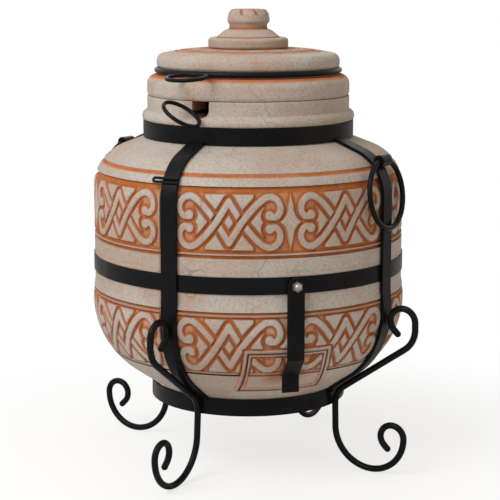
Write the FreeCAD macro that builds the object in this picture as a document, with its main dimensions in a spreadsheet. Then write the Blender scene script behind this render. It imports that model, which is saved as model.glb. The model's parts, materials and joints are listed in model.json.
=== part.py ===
"""Clay tandoor in a wrought-iron stand, millimetres, +Z up, feet on z = 0.

Directions round the pot are azimuths: 0 is -Y, 90 is +X, 180 is +Y.
Pieces that lie in an upright plane through the axis are drawn in XZ, with X as the
distance from the axis, and are then turned to their azimuth.
"""
import FreeCAD, Part
import math
import os
import Sketcher

V = FreeCAD.Vector
ALONG_X = FreeCAD.Rotation(V(0, 1, 0), 90)
ALONG_Y = FreeCAD.Rotation(V(1, 0, 0), 90)
doc = FreeCAD.newDocument("Tandoor")
sheet = doc.addObject("Spreadsheet::Sheet", "Sizes")


# ---------------------------------------------------------------- sizes

class Size:
    """A length or angle that carries its number and the expression that gives it."""

    def __init__(self, value, text):
        self.value = value
        self.text = text

    def __add__(self, other):
        other = as_size(other)
        return Size(self.value + other.value, f"({self.text} + {other.text})")

    def __sub__(self, other):
        other = as_size(other)
        return Size(self.value - other.value, f"({self.text} - {other.text})")

    def __mul__(self, other):
        other = as_size(other)
        return Size(self.value * other.value, f"({self.text} * {other.text})")

    def __truediv__(self, other):
        other = as_size(other)
        return Size(self.value / other.value, f"({self.text} / {other.text})")

    def __neg__(self):
        return Size(-self.value, f"(-1 * {self.text})")


def as_size(number):
    """A plain number as a Size."""
    if isinstance(number, Size):
        return number
    return Size(float(number), repr(float(number)))


def sine(angle):
    """Sine of an angle in degrees."""
    return Size(math.sin(math.radians(angle.value)), f"sin({angle.text})")


def cosine(angle):
    """Cosine of an angle in degrees."""
    return Size(math.cos(math.radians(angle.value)), f"cos({angle.text})")


def tangent(angle):
    """Tangent of an angle in degrees."""
    return Size(math.tan(math.radians(angle.value)), f"tan({angle.text})")


def root(number):
    """Square root."""
    return Size(math.sqrt(number.value), f"sqrt({number.text})")


def size(name, value):
    """Put one driving dimension in the sheet and return it."""
    row = str(size.row)
    size.row += 1
    sheet.set("A" + row, name)
    sheet.set("B" + row, str(value))
    sheet.setAlias("B" + row, name)
    return Size(float(value), "Sizes." + name)


size.row = 1

# stock and fits
gap = size("seat_gap", 0.3)
bar_width = size("flat_bar_width", 25)
bar_thick = size("flat_bar_thickness", 4)
leg_bar_diameter = size("leg_bar_diameter", 10)

# clay pot, outside
neck_radius = size("neck_radius", 155.5)
neck_top = size("neck_top_height", 569)
neck_roll_radius = size("neck_roll_bend", 10)
neck_roll_top = size("neck_roll_top_height", 548)
neck_roll_step = size("neck_roll_step", 4.4)
neck_seat_step = size("neck_band_seat_step", 2.1)
neck_band_low = size("neck_band_height", 507)
shoulder_slope = size("shoulder_slope", 21.4)
wall_radius = size("wall_radius", 239.2)
shoulder_end = size("shoulder_end_height", 430)
belly_low = size("belly_band_height", 303.3)
belly_seat_depth = size("belly_seat_depth", 3.1)
bowl_centre_drop = size("bowl_centre_below_belly_band", 45.3)
belly_bulge = size("belly_bulge_past_wall", 3.4)
foot_slope = size("bowl_foot_slope", 34.85)
pot_bottom = size("pot_bottom_height", 104)

# clay pot, inside
mouth_radius = size("neck_bore_radius", 112)
wall_thick = size("wall_thickness", 44.2)
hearth_drop = size("hearth_ring_drop_below_belly", 46)
hearth_thick = size("hearth_ring_thickness", 30)
throat_radius = size("ash_throat_radius", 92)
wall_seam_rise = size("wall_seam_above_wall", 11)

# carved friezes
frieze_thick = size("frieze_thickness", 7)
upper_frieze_rise = size("upper_frieze_above_belly_band", 26.1)
upper_frieze_height = size("upper_frieze_height", 102.6)
lower_frieze_drop = size("lower_frieze_below_belly_band", 25.8)
lower_frieze_height = size("lower_frieze_height", 96)
relief_depth = size("relief_depth", 3.2)
knot_scale = size("knot_scale", 1)
upper_knot_stretch = size("upper_knot_stretch", 1.05)
lower_knot_stretch = size("lower_knot_stretch", 1)
upper_knot_rise = size("upper_knot_middle_above_frieze_foot", 52.6)
lower_knot_rise = size("lower_knot_middle_above_frieze_foot", 46.5)
corner_panel_turn = size("corner_panel_half_turn", 2.73)
door_frame_width = size("ash_door_frame_width", 7)
upper_lip = size("upper_frieze_foot_groove", 4.4)
upper_ridge = size("upper_frieze_foot_ridge", 3.2)
lower_lip = size("lower_frieze_foot_groove", 1.9)
lower_ridge = size("lower_frieze_foot_ridge", 2.8)
lower_head_ridge = size("lower_frieze_head_ridge", 5)
lower_head_groove = size("lower_frieze_head_groove", 2.9)

# ash opening, door and latch
door_azimuth = size("ash_door_azimuth", 45)
sill_height = size("ash_sill_height", 147)
opening_height = size("ash_opening_height", 69)
opening_width = size("ash_opening_width", 121)
door_gap = size("ash_door_gap", 2.5)
door_thick_foot = size("ash_door_foot_thickness", 30)
latch_azimuth = size("latch_azimuth", 46.3)
latch_stud_diameter = size("latch_stud_diameter", 8)
latch_hole_gap = size("latch_hole_gap", 0.3)
latch_washer_thick = size("latch_washer_thickness", 3)
latch_washer_diameter = size("latch_washer_diameter", 20)
latch_head = size("latch_head_above_stud", 12)
latch_joggle_top_height = size("latch_joggle_top_height", 207)
latch_joggle_low_height = size("latch_joggle_low_height", 180)
latch_tab_clearance = size("latch_tab_clearance", 2.6)
latch_tab_low = size("latch_tab_end_height", 154)
latch_nut_flats = size("latch_nut_across_flats", 13)
latch_nut_height = size("latch_nut_height", 6.5)

# notch in the neck and the hook in it
notch_azimuth = size("notch_azimuth", 3.5)
notch_width = size("notch_width", 28)
notch_low = size("notch_low_height", 544)
hook_azimuth = size("hook_azimuth", 0)
hook_wire = size("hook_wire_diameter", 6)
hook_ring_outer = size("hook_ring_outer_diameter", 64)
hook_ring_roll = size("hook_ring_roll", 34)
hook_tip_drop = size("hook_tip_drop", 18)
hook_bend = size("hook_tip_bend", 8)

# mouth ring
ring_bore_radius = size("mouth_ring_bore_radius", 106)
ring_height = size("mouth_ring_height", 32)
ring_crown = size("mouth_ring_crown_bend", 14)
ring_root_step = size("mouth_ring_root_step", 2)
ring_root_rise = size("mouth_ring_root_rise", 5)
ring_bore_round = size("mouth_ring_bore_round", 5)

# lid and cap
lid_radius = size("lid_radius", 140.5)
lid_rim_height = size("lid_rim_height", 25)
lid_edge_bend = size("lid_edge_bend", 7)
lid_dome_rise = size("lid_dome_rise", 11)
lid_flat_radius = size("lid_flat_radius", 64)
lid_foot_inset = size("lid_foot_inset", 1.5)
vent_radius = size("vent_radius", 36)
lid_step_gap = size("lid_step_gap", 6)
lid_step_depth = size("lid_step_depth", 8)
hoop_wire = size("hoop_wire_diameter", 8)
hoop_rise = size("hoop_height_over_lid_foot", 6.2)
hoop_sink = size("hoop_sink_in_lid", 4.5)
loop_wire = size("lid_loop_wire_diameter", 6)
loop_outer = size("lid_loop_outer_diameter", 64)
loop_droop = size("lid_loop_droop", 5)
cap_radius = size("cap_disc_radius", 61.5)
cap_disc_thick = size("cap_disc_thickness", 11)
cap_disc_bead = size("cap_disc_edge_bend", 2.75)
cap_cone_rise = size("cap_cone_rise", 12)
cap_neck_radius = size("cap_neck_radius", 29.3)
cap_neck_height = size("cap_neck_height", 5)
cap_shoulder_radius = size("cap_shoulder_radius", 37)
knob_radius = size("knob_radius", 34)
knob_height = size("knob_height", 27)
knob_low_bend = size("knob_low_bend", 7)
knob_top_radius = size("knob_top_radius", 25)
knob_dome = size("knob_dome_rise", 3)
cap_plug_gap = size("cap_plug_gap", 3)
cap_plug_depth = size("cap_plug_depth", 14)

# lid hinge
hinge_clearance = size("hinge_axis_beyond_neck_band", 13.1)
pin_diameter = size("hinge_pin_diameter", 8)
pin_fit = size("hinge_pin_fit", 0.1)
knuckle_wall = size("hinge_knuckle_wall", 4)
ear_inside = size("hinge_ear_inside_width", 26)
ear_play = size("hinge_ear_play", 0.5)
ear_edge = size("hinge_ear_edge", 8)
bracket_lift = size("hinge_bracket_lift", 5)
stop_gap = size("hinge_stop_gap", 0.5)
stop_rise = size("hinge_stop_rise", 18)
pin_head_diameter = size("hinge_pin_head_diameter", 13)
pin_head_thick = size("hinge_pin_head_thickness", 3)

# stand
base_radius = size("base_band_radius", 152.2)
base_low = size("base_band_height", 99.5)
strap_turn = size("strap_turn_to_door", 2.4)
strap_ease = size("strap_belly_ease_radius", 272)
strap_lap = size("strap_base_lap", 4)
top_scroll = size("leg_top_scroll_radius", 20)
top_scroll_height = size("leg_top_scroll_height", 243.5)
knee_bend = size("leg_knee_bend", 40)
ankle_bend = size("leg_ankle_bend", 36)
foot_inner_bend = size("leg_foot_inner_bend", 60)
foot_outer_bend = size("leg_foot_outer_bend", 55)
foot_scroll = size("leg_foot_scroll_radius", 19)
scroll_tail = size("leg_scroll_tail", 8.5)
scroll_tail_turn = size("leg_scroll_tail_turn", 45)

# carrying handles and tool hook
eye_outer = size("handle_eye_diameter", 18)
eye_angle = size("handle_eye_angle", 40)
handle_wire = size("handle_wire_diameter", 8)
handle_outer = size("handle_ring_outer_diameter", 109)
tool_wire = size("tool_hook_wire_diameter", 4)
tool_pitch = size("tool_hook_pitch", 6)
tool_reach = size("tool_hook_reach", 14)
tool_angle = size("tool_hook_angle", 27)

# cast grate
grate_clear = size("grate_radial_clearance", 3)
grate_thick = size("grate_thickness", 8)
grate_rim = size("grate_rim_width", 10)
grate_slot = size("grate_slot_width", 10)
grate_pitch = size("grate_slot_pitch", 20)


# ---------------------------------------------------------------- drawing

def new_sketch(body, name, plane):
    """A sketch on one of the body's own origin planes."""
    sketch = body.newObject("Sketcher::SketchObject", name)
    for feature in body.Origin.OriginFeatures:
        if feature.Role == plane:
            sketch.AttachmentSupport = [(feature, "")]
    sketch.MapMode = "FlatFace"
    return sketch


def held(kind, geometry, point, distance):
    """The constraint that holds a point at a distance from the origin, or on the axis at 0."""
    if distance.value == 0:
        axis = -2 if kind == "DistanceX" else -1
        return Sketcher.Constraint("PointOnObject", geometry, point, axis), None
    if distance.value < 0:
        return Sketcher.Constraint(kind, geometry, point, -1, 1, -distance.value), -distance
    return Sketcher.Constraint(kind, -1, 1, geometry, point, distance.value), distance


def arc_between(start, end, radius, turn):
    """The short arc from start to end. turn is 1 where it bends left, -1 where it bends right."""
    chord = end - start
    middle = (start + end) * 0.5
    rise = math.sqrt(max(radius ** 2 - (chord.Length / 2) ** 2, 0))
    across = V(-chord.y, chord.x, 0).normalize()
    centre = middle + across * (rise * turn)
    first, last = (start, end) if turn > 0 else (end, start)
    from_angle = math.atan2(first.y - centre.y, first.x - centre.x)
    to_angle = math.atan2(last.y - centre.y, last.x - centre.x)
    circle = Part.Circle(centre, V(0, 0, 1), radius)
    return Part.ArcOfCircle(circle, from_angle, to_angle)


def draw(sketch, corners, closed=True):
    """Draw lines and arcs through corners, each held by its own expressions.

    A corner is (x, y) or (x, y, radius, turn), whose arc runs on to the next corner.
    """
    points = [V(corner[0].value, corner[1].value, 0) for corner in corners]
    first = sketch.GeometryCount
    count = len(corners) if closed else len(corners) - 1
    lines = []
    ends = []
    for index in range(count):
        start = points[index]
        end = points[(index + 1) % len(points)]
        corner = corners[index]
        if len(corner) == 2:
            lines.append(Part.LineSegment(start, end))
            ends.append((1, 2))
        else:
            lines.append(arc_between(start, end, corner[2].value, corner[3]))
            ends.append((1, 2) if corner[3] > 0 else (2, 1))
    sketch.addGeometry(lines, False)
    rules = []
    for index in range(count - 1 + closed):
        following = (index + 1) % count
        joint = (first + index, ends[index][1], first + following, ends[following][0])
        rules.append((Sketcher.Constraint("Coincident", *joint), None))
    for index in range(count):
        line, point = first + index, ends[index][0]
        rules.append(held("DistanceX", line, point, corners[index][0]))
        rules.append(held("DistanceY", line, point, corners[index][1]))
        if len(corners[index]) > 2:
            radius = corners[index][2]
            rules.append((Sketcher.Constraint("Radius", line, radius.value), radius))
    if not closed:
        rules.append(held("DistanceX", first + count - 1, ends[-1][1], corners[-1][0]))
        rules.append(held("DistanceY", first + count - 1, ends[-1][1], corners[-1][1]))
    numbers = sketch.addConstraint([rule[0] for rule in rules])
    for number, rule in zip(numbers, rules):
        if rule[1] is not None:
            sketch.setExpression(f"Constraints[{number}]", rule[1].text)


def new_body(name):
    return doc.addObject("PartDesign::Body", name)


def turned(name, corners, angle=None):
    """A solid of revolution about the axis; corners are (radius, height).

    With an angle it is a sector, half of it on each side of +X.
    """
    body = new_body(name)
    sketch = new_sketch(body, name + "_outline", "XZ_Plane")
    draw(sketch, corners)
    turn = body.newObject("PartDesign::Revolution", name + "_turn")
    turn.Profile = sketch
    turn.ReferenceAxis = (sketch, ["V_Axis"])
    turn.Angle = 360
    if angle is not None:
        turn.Midplane = True
        turn.setExpression("Angle", angle.text)
    return body


def padded(name, corners, width, plane="XZ_Plane"):
    """A flat outline with a width, half on each side of its plane."""
    body = new_body(name)
    sketch = new_sketch(body, name + "_outline", plane)
    draw(sketch, corners)
    pad = body.newObject("PartDesign::Pad", name + "_pad")
    pad.Profile = sketch
    pad.Midplane = True
    pad.setExpression("Length", width.text)
    return body


def pressed_out(name, outlines, start, end):
    """Prisms from outlines drawn across and up, from one distance along +X to another."""
    body = new_body(name)
    sketch = new_sketch(body, name + "_outline", "YZ_Plane")
    sketch.setExpression("AttachmentOffset.Base.z", start.text)
    for corners in outlines:
        draw(sketch, corners)
    pad = body.newObject("PartDesign::Pad", name + "_pad")
    pad.Profile = sketch
    pad.setExpression("Length", (end - start).text)
    return body


def bent_bar(name, corners, diameter):
    """A round bar along a path of lines and arcs that meet smoothly."""
    body = new_body(name)
    path = new_sketch(body, name + "_path", "XZ_Plane")
    draw(path, corners, closed=False)
    section = body.newObject("Sketcher::SketchObject", name + "_section")
    section.AttachmentSupport = [(path, "Edge1")]
    section.MapMode = "NormalToEdge"
    section.MapPathParameter = 0
    section.addGeometry(Part.Circle(V(0, 0, 0), V(0, 0, 1), diameter.value / 2), False)
    section.addConstraint(Sketcher.Constraint("Coincident", 0, 3, -1, 1))
    held = section.addConstraint(Sketcher.Constraint("Diameter", 0, diameter.value))
    section.setExpression(f"Constraints[{held}]", diameter.text)
    doc.recompute()
    pipe = body.newObject("PartDesign::AdditivePipe", name + "_pipe")
    pipe.Profile = section
    pipe.Spine = path
    return body


def primitive(kind, name, **lengths):
    """A Part primitive whose sizes are bound to the sheet."""
    solid = doc.addObject("Part::" + kind, name)
    for key, length in lengths.items():
        solid.setExpression(key, as_size(length).text)
    return solid


def place(solid, spot, turn=FreeCAD.Rotation()):
    """Put a solid at a spot whose coordinates are bound to the sheet."""
    solid.Placement = FreeCAD.Placement(V(*[length.value for length in spot]), turn)
    for axis, length in zip("xyz", spot):
        solid.setExpression("Placement.Base." + axis, length.text)


def box(name, low, high):
    """A Part::Box between two corners."""
    solid = primitive("Box", name, Length=high[0] - low[0], Width=high[1] - low[1],
                      Height=high[2] - low[2])
    place(solid, low)
    return solid


def spin(solid, azimuth, lean=0.0, lean_height=0.0):
    """Turn a piece drawn along +X to an azimuth, after leaning it about its own X axis."""
    for axis in "xyz":
        solid.setExpression("Placement.Base." + axis, None)
    pivot = V(0, 0, lean_height)
    leaned = FreeCAD.Placement(V(0, 0, 0), FreeCAD.Rotation(V(1, 0, 0), lean), pivot)
    turn = FreeCAD.Placement(V(0, 0, 0), FreeCAD.Rotation(V(0, 0, 1), azimuth - 90))
    solid.Placement = turn.multiply(leaned).multiply(solid.Placement)
    return solid


def cut(name, base, *tools):
    """Base less every tool."""
    for number, tool in enumerate(tools):
        last = number == len(tools) - 1
        result = doc.addObject("Part::Cut", name if last else f"{name}_cut_{number + 1}")
        result.Base = base
        result.Tool = tool
        base = result
    return base


def joined(name, *solids):
    """One solid from several that touch."""
    result = doc.addObject("Part::MultiFuse", name)
    result.Shapes = list(solids)
    return result


def group(name, solids):
    """Several solids that don't touch, as one tool."""
    result = doc.addObject("Part::Compound", name)
    result.Links = solids
    return result


def common(name, first, second):
    """What two solids share."""
    result = doc.addObject("Part::Common", name)
    result.Base = first
    result.Tool = second
    return result


def torus(name, ring_radius, wire):
    """A closed wire ring about +Z."""
    return primitive("Torus", name, Radius1=ring_radius, Radius2=wire / 2)


def across_cylinder(name, radius, half_length, reach, height):
    """A cylinder along Y, centred on the XZ plane."""
    solid = primitive("Cylinder", name, Radius=radius, Height=half_length * 2)
    place(solid, (reach, half_length, height), ALONG_Y)
    return solid


nodes = {}


def node(name, solid):
    """Name a finished piece; the name is its label and its file."""
    solid.Label = name
    nodes[name] = solid
    return solid


# ---------------------------------------------------------------- shared forms

zero = as_size(0)
straight_in = sine(foot_slope)
straight_down = cosine(foot_slope)
chamber_radius = wall_radius - wall_thick

belly_radius = wall_radius + belly_bulge
bowl_centre_height = belly_low - bowl_centre_drop
neck_seat_radius = neck_radius + neck_seat_step
neck_roll_reach = neck_seat_radius + neck_roll_step
latch_stud_height = belly_low + bar_width / 2
hearth_low = bowl_centre_height - hearth_drop
ledge_height = hearth_low + hearth_thick

base_top = base_low + bar_width
belly_top = belly_low + bar_width
neck_band_top = neck_band_low + bar_width
base_bore = base_radius - bar_thick
belly_seat_radius = wall_radius - belly_seat_depth
belly_band_radius = belly_seat_radius + gap + bar_thick
neck_band_radius = neck_seat_radius + gap + bar_thick
hinge_reach = neck_band_radius + hinge_clearance

# the shoulder: a cone that runs into an arc, which ends on the wall
cone_reach = neck_seat_radius * sine(shoulder_slope) + neck_band_low * cosine(shoulder_slope)
wall_reach = wall_radius * sine(shoulder_slope) + shoulder_end * cosine(shoulder_slope)
shoulder_bend = (cone_reach - wall_reach) / (as_size(1) - sine(shoulder_slope))
shoulder_centre = wall_radius - shoulder_bend

# the bowl: an arc that runs into the foot cone, which meets the top edge of the base band
foot_meet = (base_bore - gap, base_top)
bowl_bend = (((bowl_centre_height - foot_meet[1]) * straight_down
              - (belly_radius - foot_meet[0]) * straight_in) / (as_size(1) - straight_in))
bowl_centre_radius = belly_radius - bowl_bend
bowl_end = (bowl_centre_radius + bowl_bend * straight_in,
            bowl_centre_height - bowl_bend * straight_down)


# the friezes: where they start and end
upper_frieze_low = belly_top + upper_frieze_rise
upper_frieze_top = upper_frieze_low + upper_frieze_height
lower_frieze_top = belly_low - lower_frieze_drop
lower_frieze_low = lower_frieze_top - lower_frieze_height
wall_seam = shoulder_end + wall_seam_rise


def foot_line_radius(height):
    """Radius of the foot cone at a height."""
    return foot_meet[0] + (height - foot_meet[1]) / tangent(foot_slope)


def shoulder_point(offset):
    """Where the shoulder arc, moved out by offset, leaves the cone."""
    bend = shoulder_bend + offset
    return (shoulder_centre + bend * sine(shoulder_slope),
            shoulder_end + bend * cosine(shoulder_slope))


def bowl_corner(offset):
    """Where the bowl arc, moved out by offset, runs into the foot cone."""
    return (bowl_end[0] + offset * straight_in, bowl_end[1] - offset * straight_down)


def bowl_height(reach, bend):
    """Height over the bowl's centre at which an arc of this bend has this radius."""
    return root(bend * bend - (reach - bowl_centre_radius) * (reach - bowl_centre_radius))


def bowl_reach(height, bend):
    """Radius at which an arc of this bend about the bowl's centre has this height."""
    drop = bowl_centre_height - height
    return bowl_centre_radius + root(bend * bend - drop * drop)


def shoulder_reach(height, bend):
    """Radius at which an arc of this bend about the shoulder's centre has this height."""
    rise = height - shoulder_end
    return shoulder_centre + root(bend * bend - rise * rise)


# ---------------------------------------------------------------- clay pot

def make_pot_lower(seam):
    """The bowl, from its foot to the seam behind the belly band, with the ash opening."""
    inner_bend = bowl_bend - wall_thick
    inner_end = bowl_corner(-wall_thick)
    inner_foot = foot_line_radius(sill_height) - wall_thick / straight_in
    wall_foot = bowl_centre_height + bowl_height(wall_radius, bowl_bend)
    bed_bend = bowl_bend - frieze_thick - gap
    form = turned("pot_lower_form", [
        (zero, pot_bottom),
        (foot_line_radius(pot_bottom), pot_bottom),
        (bowl_end[0], bowl_end[1], bowl_bend, 1),
        (bowl_reach(lower_frieze_low, bowl_bend), lower_frieze_low),
        (bowl_reach(lower_frieze_low, bed_bend), lower_frieze_low, bed_bend, 1),
        (bowl_reach(lower_frieze_top, bed_bend), lower_frieze_top),
        (bowl_reach(lower_frieze_top, bowl_bend), lower_frieze_top, bowl_bend, 1),
        (wall_radius, wall_foot),
        (wall_radius, belly_low),
        (belly_seat_radius, belly_low),
        (belly_seat_radius, seam),
        (chamber_radius, seam),
        (chamber_radius, bowl_centre_height - bowl_height(chamber_radius, inner_bend), inner_bend, -1),
        inner_end,
        (inner_foot, sill_height),
        (zero, sill_height),
    ])
    opening = spin(door_block("ash_opening", zero), door_azimuth.value)
    node("pot_lower", cut("pot_lower", form, opening))


def door_block(name, border):
    """A block along +X as wide and as high as the ash opening, with a border."""
    half = opening_width / 2 + border
    return box(name, (throat_radius, -half, sill_height),
               (belly_radius + bar_width, half, sill_height + opening_height + border))


def make_pot_wall(seam):
    """The wall, from the belly band's seam to the one behind the upper frieze."""
    bed_bend = shoulder_bend - frieze_thick - gap
    bed_radius = wall_radius - frieze_thick - gap
    node("pot_wall", turned("pot_wall", [
        (belly_seat_radius, seam + gap),
        (belly_seat_radius, belly_top),
        (wall_radius, belly_top),
        (wall_radius, upper_frieze_low),
        (bed_radius, upper_frieze_low),
        (bed_radius, shoulder_end, bed_bend, 1),
        (shoulder_reach(wall_seam, bed_bend), wall_seam),
        (chamber_radius, wall_seam),
        (chamber_radius, seam + gap),
    ]))


def make_pot_upper(neck_seam):
    """The shoulder, from the seam behind the upper frieze to the neck band's."""
    bed_bend = shoulder_bend - frieze_thick - gap
    low = wall_seam + gap
    bore_foot = (cone_reach - wall_thick - mouth_radius * sine(shoulder_slope)) / cosine(shoulder_slope)
    node("pot_upper", turned("pot_upper", [
        (shoulder_reach(low, bed_bend), low, bed_bend, 1),
        (shoulder_reach(upper_frieze_top, bed_bend), upper_frieze_top),
        (shoulder_reach(upper_frieze_top, shoulder_bend), upper_frieze_top, shoulder_bend, 1),
        shoulder_point(zero),
        (neck_seat_radius, neck_band_low),
        (neck_seat_radius, neck_seam),
        (mouth_radius, neck_seam),
        (mouth_radius, bore_foot),
        (chamber_radius, low),
    ]))


# One knot of the carved pattern at scale 1, in millimetres across and up from its middle:
# a band that rises from a point at its foot to a curl at each side, and the islands that
# the band and its mirror image leave between them.
CURLED_BAND = [
    (2.3, -33), (42.96, 19.54, 25, -1), (58.8, 29.4, 10.3, -1), (68.4, 17.5, 8, -1),
    (64.3, 12.5, 6.9, 1), (51.5, 9, 6.9, 1), (60.2, 2.3, 17.5, 1), (78.2, 19, 20.3, 1),
    (59.2, 39.4, 35, 1), (35.04, 25.66), (0, -19.6)]
DIAMOND = [(0, -8.3), (6.2, 0), (0, 8.3), (-6.2, 0)]
WEDGE = [(5.8, 38), (21.4, 19), (34.6, 36), (34.6, 38)]
LEAF = [(32, 0), (51, -22.9), (51, -18.8, 12.3, -1), (50, 0, 12.3, -1), (51, 18.8), (51, 22.9)]
SPINDLE = [
    (0, 39.5), (-4.65, 20, 25.5, -1), (-14.3, 0, 25.5, -1), (-4.65, -20), (0, -39.5),
    (4.65, -20, 25.5, -1), (14.3, 0, 25.5, -1), (4.65, 20)]


def mirrored(corners, across, up):
    """An outline with its signs across and up changed; one mirror turns its arcs round."""
    turned_round = across * up
    return [(across * corner[0], up * corner[1], *((corner[2], corner[3] * turned_round)
                                                   if len(corner) > 2 else ())) for corner in corners]


def whole_band(up):
    """The band's right half, then its left half from the middle back to the foot."""
    half = CURLED_BAND
    left = []
    for index in range(len(half) - 2, -1, -1):
        across, height = -half[index][0], half[index][1]
        before = half[index - 1]
        arc = before[2:] if index and len(before) > 2 else ()
        left.append((across, height, *arc))
    return mirrored(half + left, 1, up)


def laid_on(outline, middle, reach, stretch):
    """An outline as seen along the radius at its middle; reach gives the wall's radius at a height."""
    corners = []
    for corner in outline:
        height = middle + stretch * corner[1]
        turn = corner[0] / wall_radius.value
        across = knot_scale * round(reach(height).value * math.sin(turn), 3)
        arc = (knot_scale * corner[2], corner[3]) if len(corner) > 2 else ()
        corners.append((across, height, *arc))
    return corners


def raised_pieces(label, pitch, middle, reach, stretch):
    """Prisms of a quarter's two knots and its spindle, and of the bands that cross over them."""
    start = chamber_radius + bar_width
    end = belly_radius + bar_thick
    islands = [DIAMOND, LEAF, mirrored(LEAF, -1, 1)]
    for across in (1, -1):
        for up in (1, -1):
            islands.append(mirrored(WEDGE, across, up))
    under, over = [], []
    for side in (-1, 1):
        knot = f"{label}_knot_{'left' if side < 0 else 'right'}"
        turn = side * pitch / 2
        band = laid_on(whole_band(1), middle, reach, stretch)
        under.append(spin(pressed_out(knot, [band], start, end), 90 + turn))
        laid = [laid_on(island, middle, reach, stretch) for island in islands]
        under.append(spin(pressed_out(knot + "_islands", laid, start, end), 90 + turn))
        band = laid_on(whole_band(-1), middle, reach, stretch)
        over.append(spin(pressed_out(knot + "_over", [band], start, end), 90 + turn))
    spindle = laid_on(SPINDLE, middle, reach, stretch)
    under.append(pressed_out(label + "_spindle", [spindle], start, end))
    return group(label + "_raised", under), group(label + "_over", over)


def make_frieze(name, outline, ground, middle, reach, stretch, door=False):
    """A ring in four quarters, each with its ground cut away round the raised pieces."""
    quarters = []
    right_angle = as_size(90)
    for quarter in range(4):
        label = f"{name}_{quarter + 1}"
        pitch = 42.6 if quarter % 2 == 0 else 45.2
        ring = turned(label + "_form", outline, right_angle)
        cutter = turned(label + "_ground_form", ground, right_angle - corner_panel_turn * 2)
        raised = raised_pieces(label, pitch, middle, reach, stretch)
        if door and quarter == 0:
            turn = 45 + door_azimuth.value
            raised = (*raised, spin(door_block(label + "_door_frame", door_frame_width), turn))
            ring = cut(label + "_open", ring, spin(door_block(label + "_opening", zero), turn))
        piece = cut(label, ring, cut(label + "_ground", cutter, *raised))
        quarters.append(spin(piece, quarter * 90 + 45))
    node(name, joined(name, *quarters))


def make_friezes():
    """The two carved rings, which lie in shallow beds round the wall and the bowl."""
    low = upper_frieze_low + gap
    top = upper_frieze_top - gap
    lip = upper_frieze_low + upper_lip
    field = lip + upper_ridge
    inner_bend = shoulder_bend - frieze_thick
    sunk_bend = shoulder_bend - relief_depth
    make_frieze("frieze_upper", [
        (wall_radius - frieze_thick, low),
        (wall_radius - relief_depth, low),
        (wall_radius - relief_depth, lip),
        (wall_radius, lip),
        (wall_radius, shoulder_end, shoulder_bend, 1),
        (shoulder_reach(top, shoulder_bend), top),
        (shoulder_reach(top, inner_bend), top, inner_bend, -1),
        (wall_radius - frieze_thick, shoulder_end),
    ], [
        (wall_radius - relief_depth, field),
        (belly_radius, field),
        (belly_radius, upper_frieze_top),
        (shoulder_reach(upper_frieze_top, sunk_bend), upper_frieze_top, sunk_bend, -1),
        (wall_radius - relief_depth, shoulder_end),
    ], upper_frieze_low + upper_knot_rise, lambda height: wall_radius, upper_knot_stretch)

    low = lower_frieze_low + gap
    top = lower_frieze_top - gap
    lip = lower_frieze_low + lower_lip
    field = lip + lower_ridge
    head_groove = lower_frieze_top - lower_head_groove
    field_top = head_groove - lower_head_ridge
    inner_bend = bowl_bend - frieze_thick
    sunk_bend = bowl_bend - relief_depth
    make_frieze("frieze_lower", [
        (bowl_reach(low, inner_bend), low),
        (bowl_reach(low, sunk_bend), low),
        (bowl_reach(lip, sunk_bend), lip),
        (bowl_reach(lip, bowl_bend), lip, bowl_bend, 1),
        (bowl_reach(head_groove, bowl_bend), head_groove),
        (bowl_reach(head_groove, sunk_bend), head_groove),
        (bowl_reach(top, sunk_bend), top),
        (bowl_reach(top, inner_bend), top, inner_bend, -1),
    ], [
        (bowl_reach(field, sunk_bend), field, sunk_bend, 1),
        (bowl_reach(field_top, sunk_bend), field_top),
        (belly_radius + bar_thick, field_top),
        (belly_radius + bar_thick, field),
    ], lower_frieze_low + lower_knot_rise, lambda height: bowl_reach(height, bowl_bend),
        lower_knot_stretch, door=True)


def make_pot_neck(neck_seam):
    """The neck over the neck band's seam, with the U notch for the hook."""
    form = turned("pot_neck_form", [
        (mouth_radius, neck_seam + gap),
        (neck_seat_radius, neck_seam + gap),
        (neck_seat_radius, neck_band_top),
        (neck_roll_reach, neck_band_top, neck_roll_radius, 1),
        (neck_radius, neck_roll_top),
        (neck_radius, neck_top),
        (mouth_radius, neck_top),
    ])
    notch_half = notch_width / 2
    notch_inside = mouth_radius - bar_width
    notch_upper = spin(box("notch_upper", (notch_inside, -notch_half, notch_low + notch_half),
                           (neck_band_radius, notch_half, neck_top + gap)), notch_azimuth.value)
    notch_round = primitive("Cylinder", "notch_round", Radius=notch_half,
                            Height=neck_band_radius - notch_inside)
    place(notch_round, (notch_inside, zero, notch_low + notch_half), ALONG_X)
    spin(notch_round, notch_azimuth.value)
    node("pot_neck", cut("pot_neck", form, notch_upper, notch_round))


def make_hearth_ring():
    """A loose clay ring bedded in the bowl, which carries the grate over the ash pit."""
    bend = bowl_bend - wall_thick - gap
    reach = chamber_radius - gap
    node("hearth_ring", turned("hearth_ring", [
        (throat_radius, hearth_low),
        (bowl_reach(hearth_low, bend), hearth_low, bend, 1),
        (reach, bowl_centre_height - bowl_height(reach, bend)),
        (reach, ledge_height),
        (throat_radius, ledge_height),
    ]))


def make_mouth_ring():
    low = neck_top
    top = neck_top + ring_height
    outer = neck_radius
    crown_low = top - ring_crown
    node("mouth_ring", turned("mouth_ring", [
        (ring_bore_radius, low),
        (outer - ring_root_step, low),
        (outer, low + ring_root_rise),
        (outer, crown_low, ring_crown, 1),
        (outer - ring_crown, top),
        (ring_bore_radius + ring_bore_round, top, ring_bore_round, 1),
        (ring_bore_radius, top - ring_bore_round),
    ]))


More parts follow.
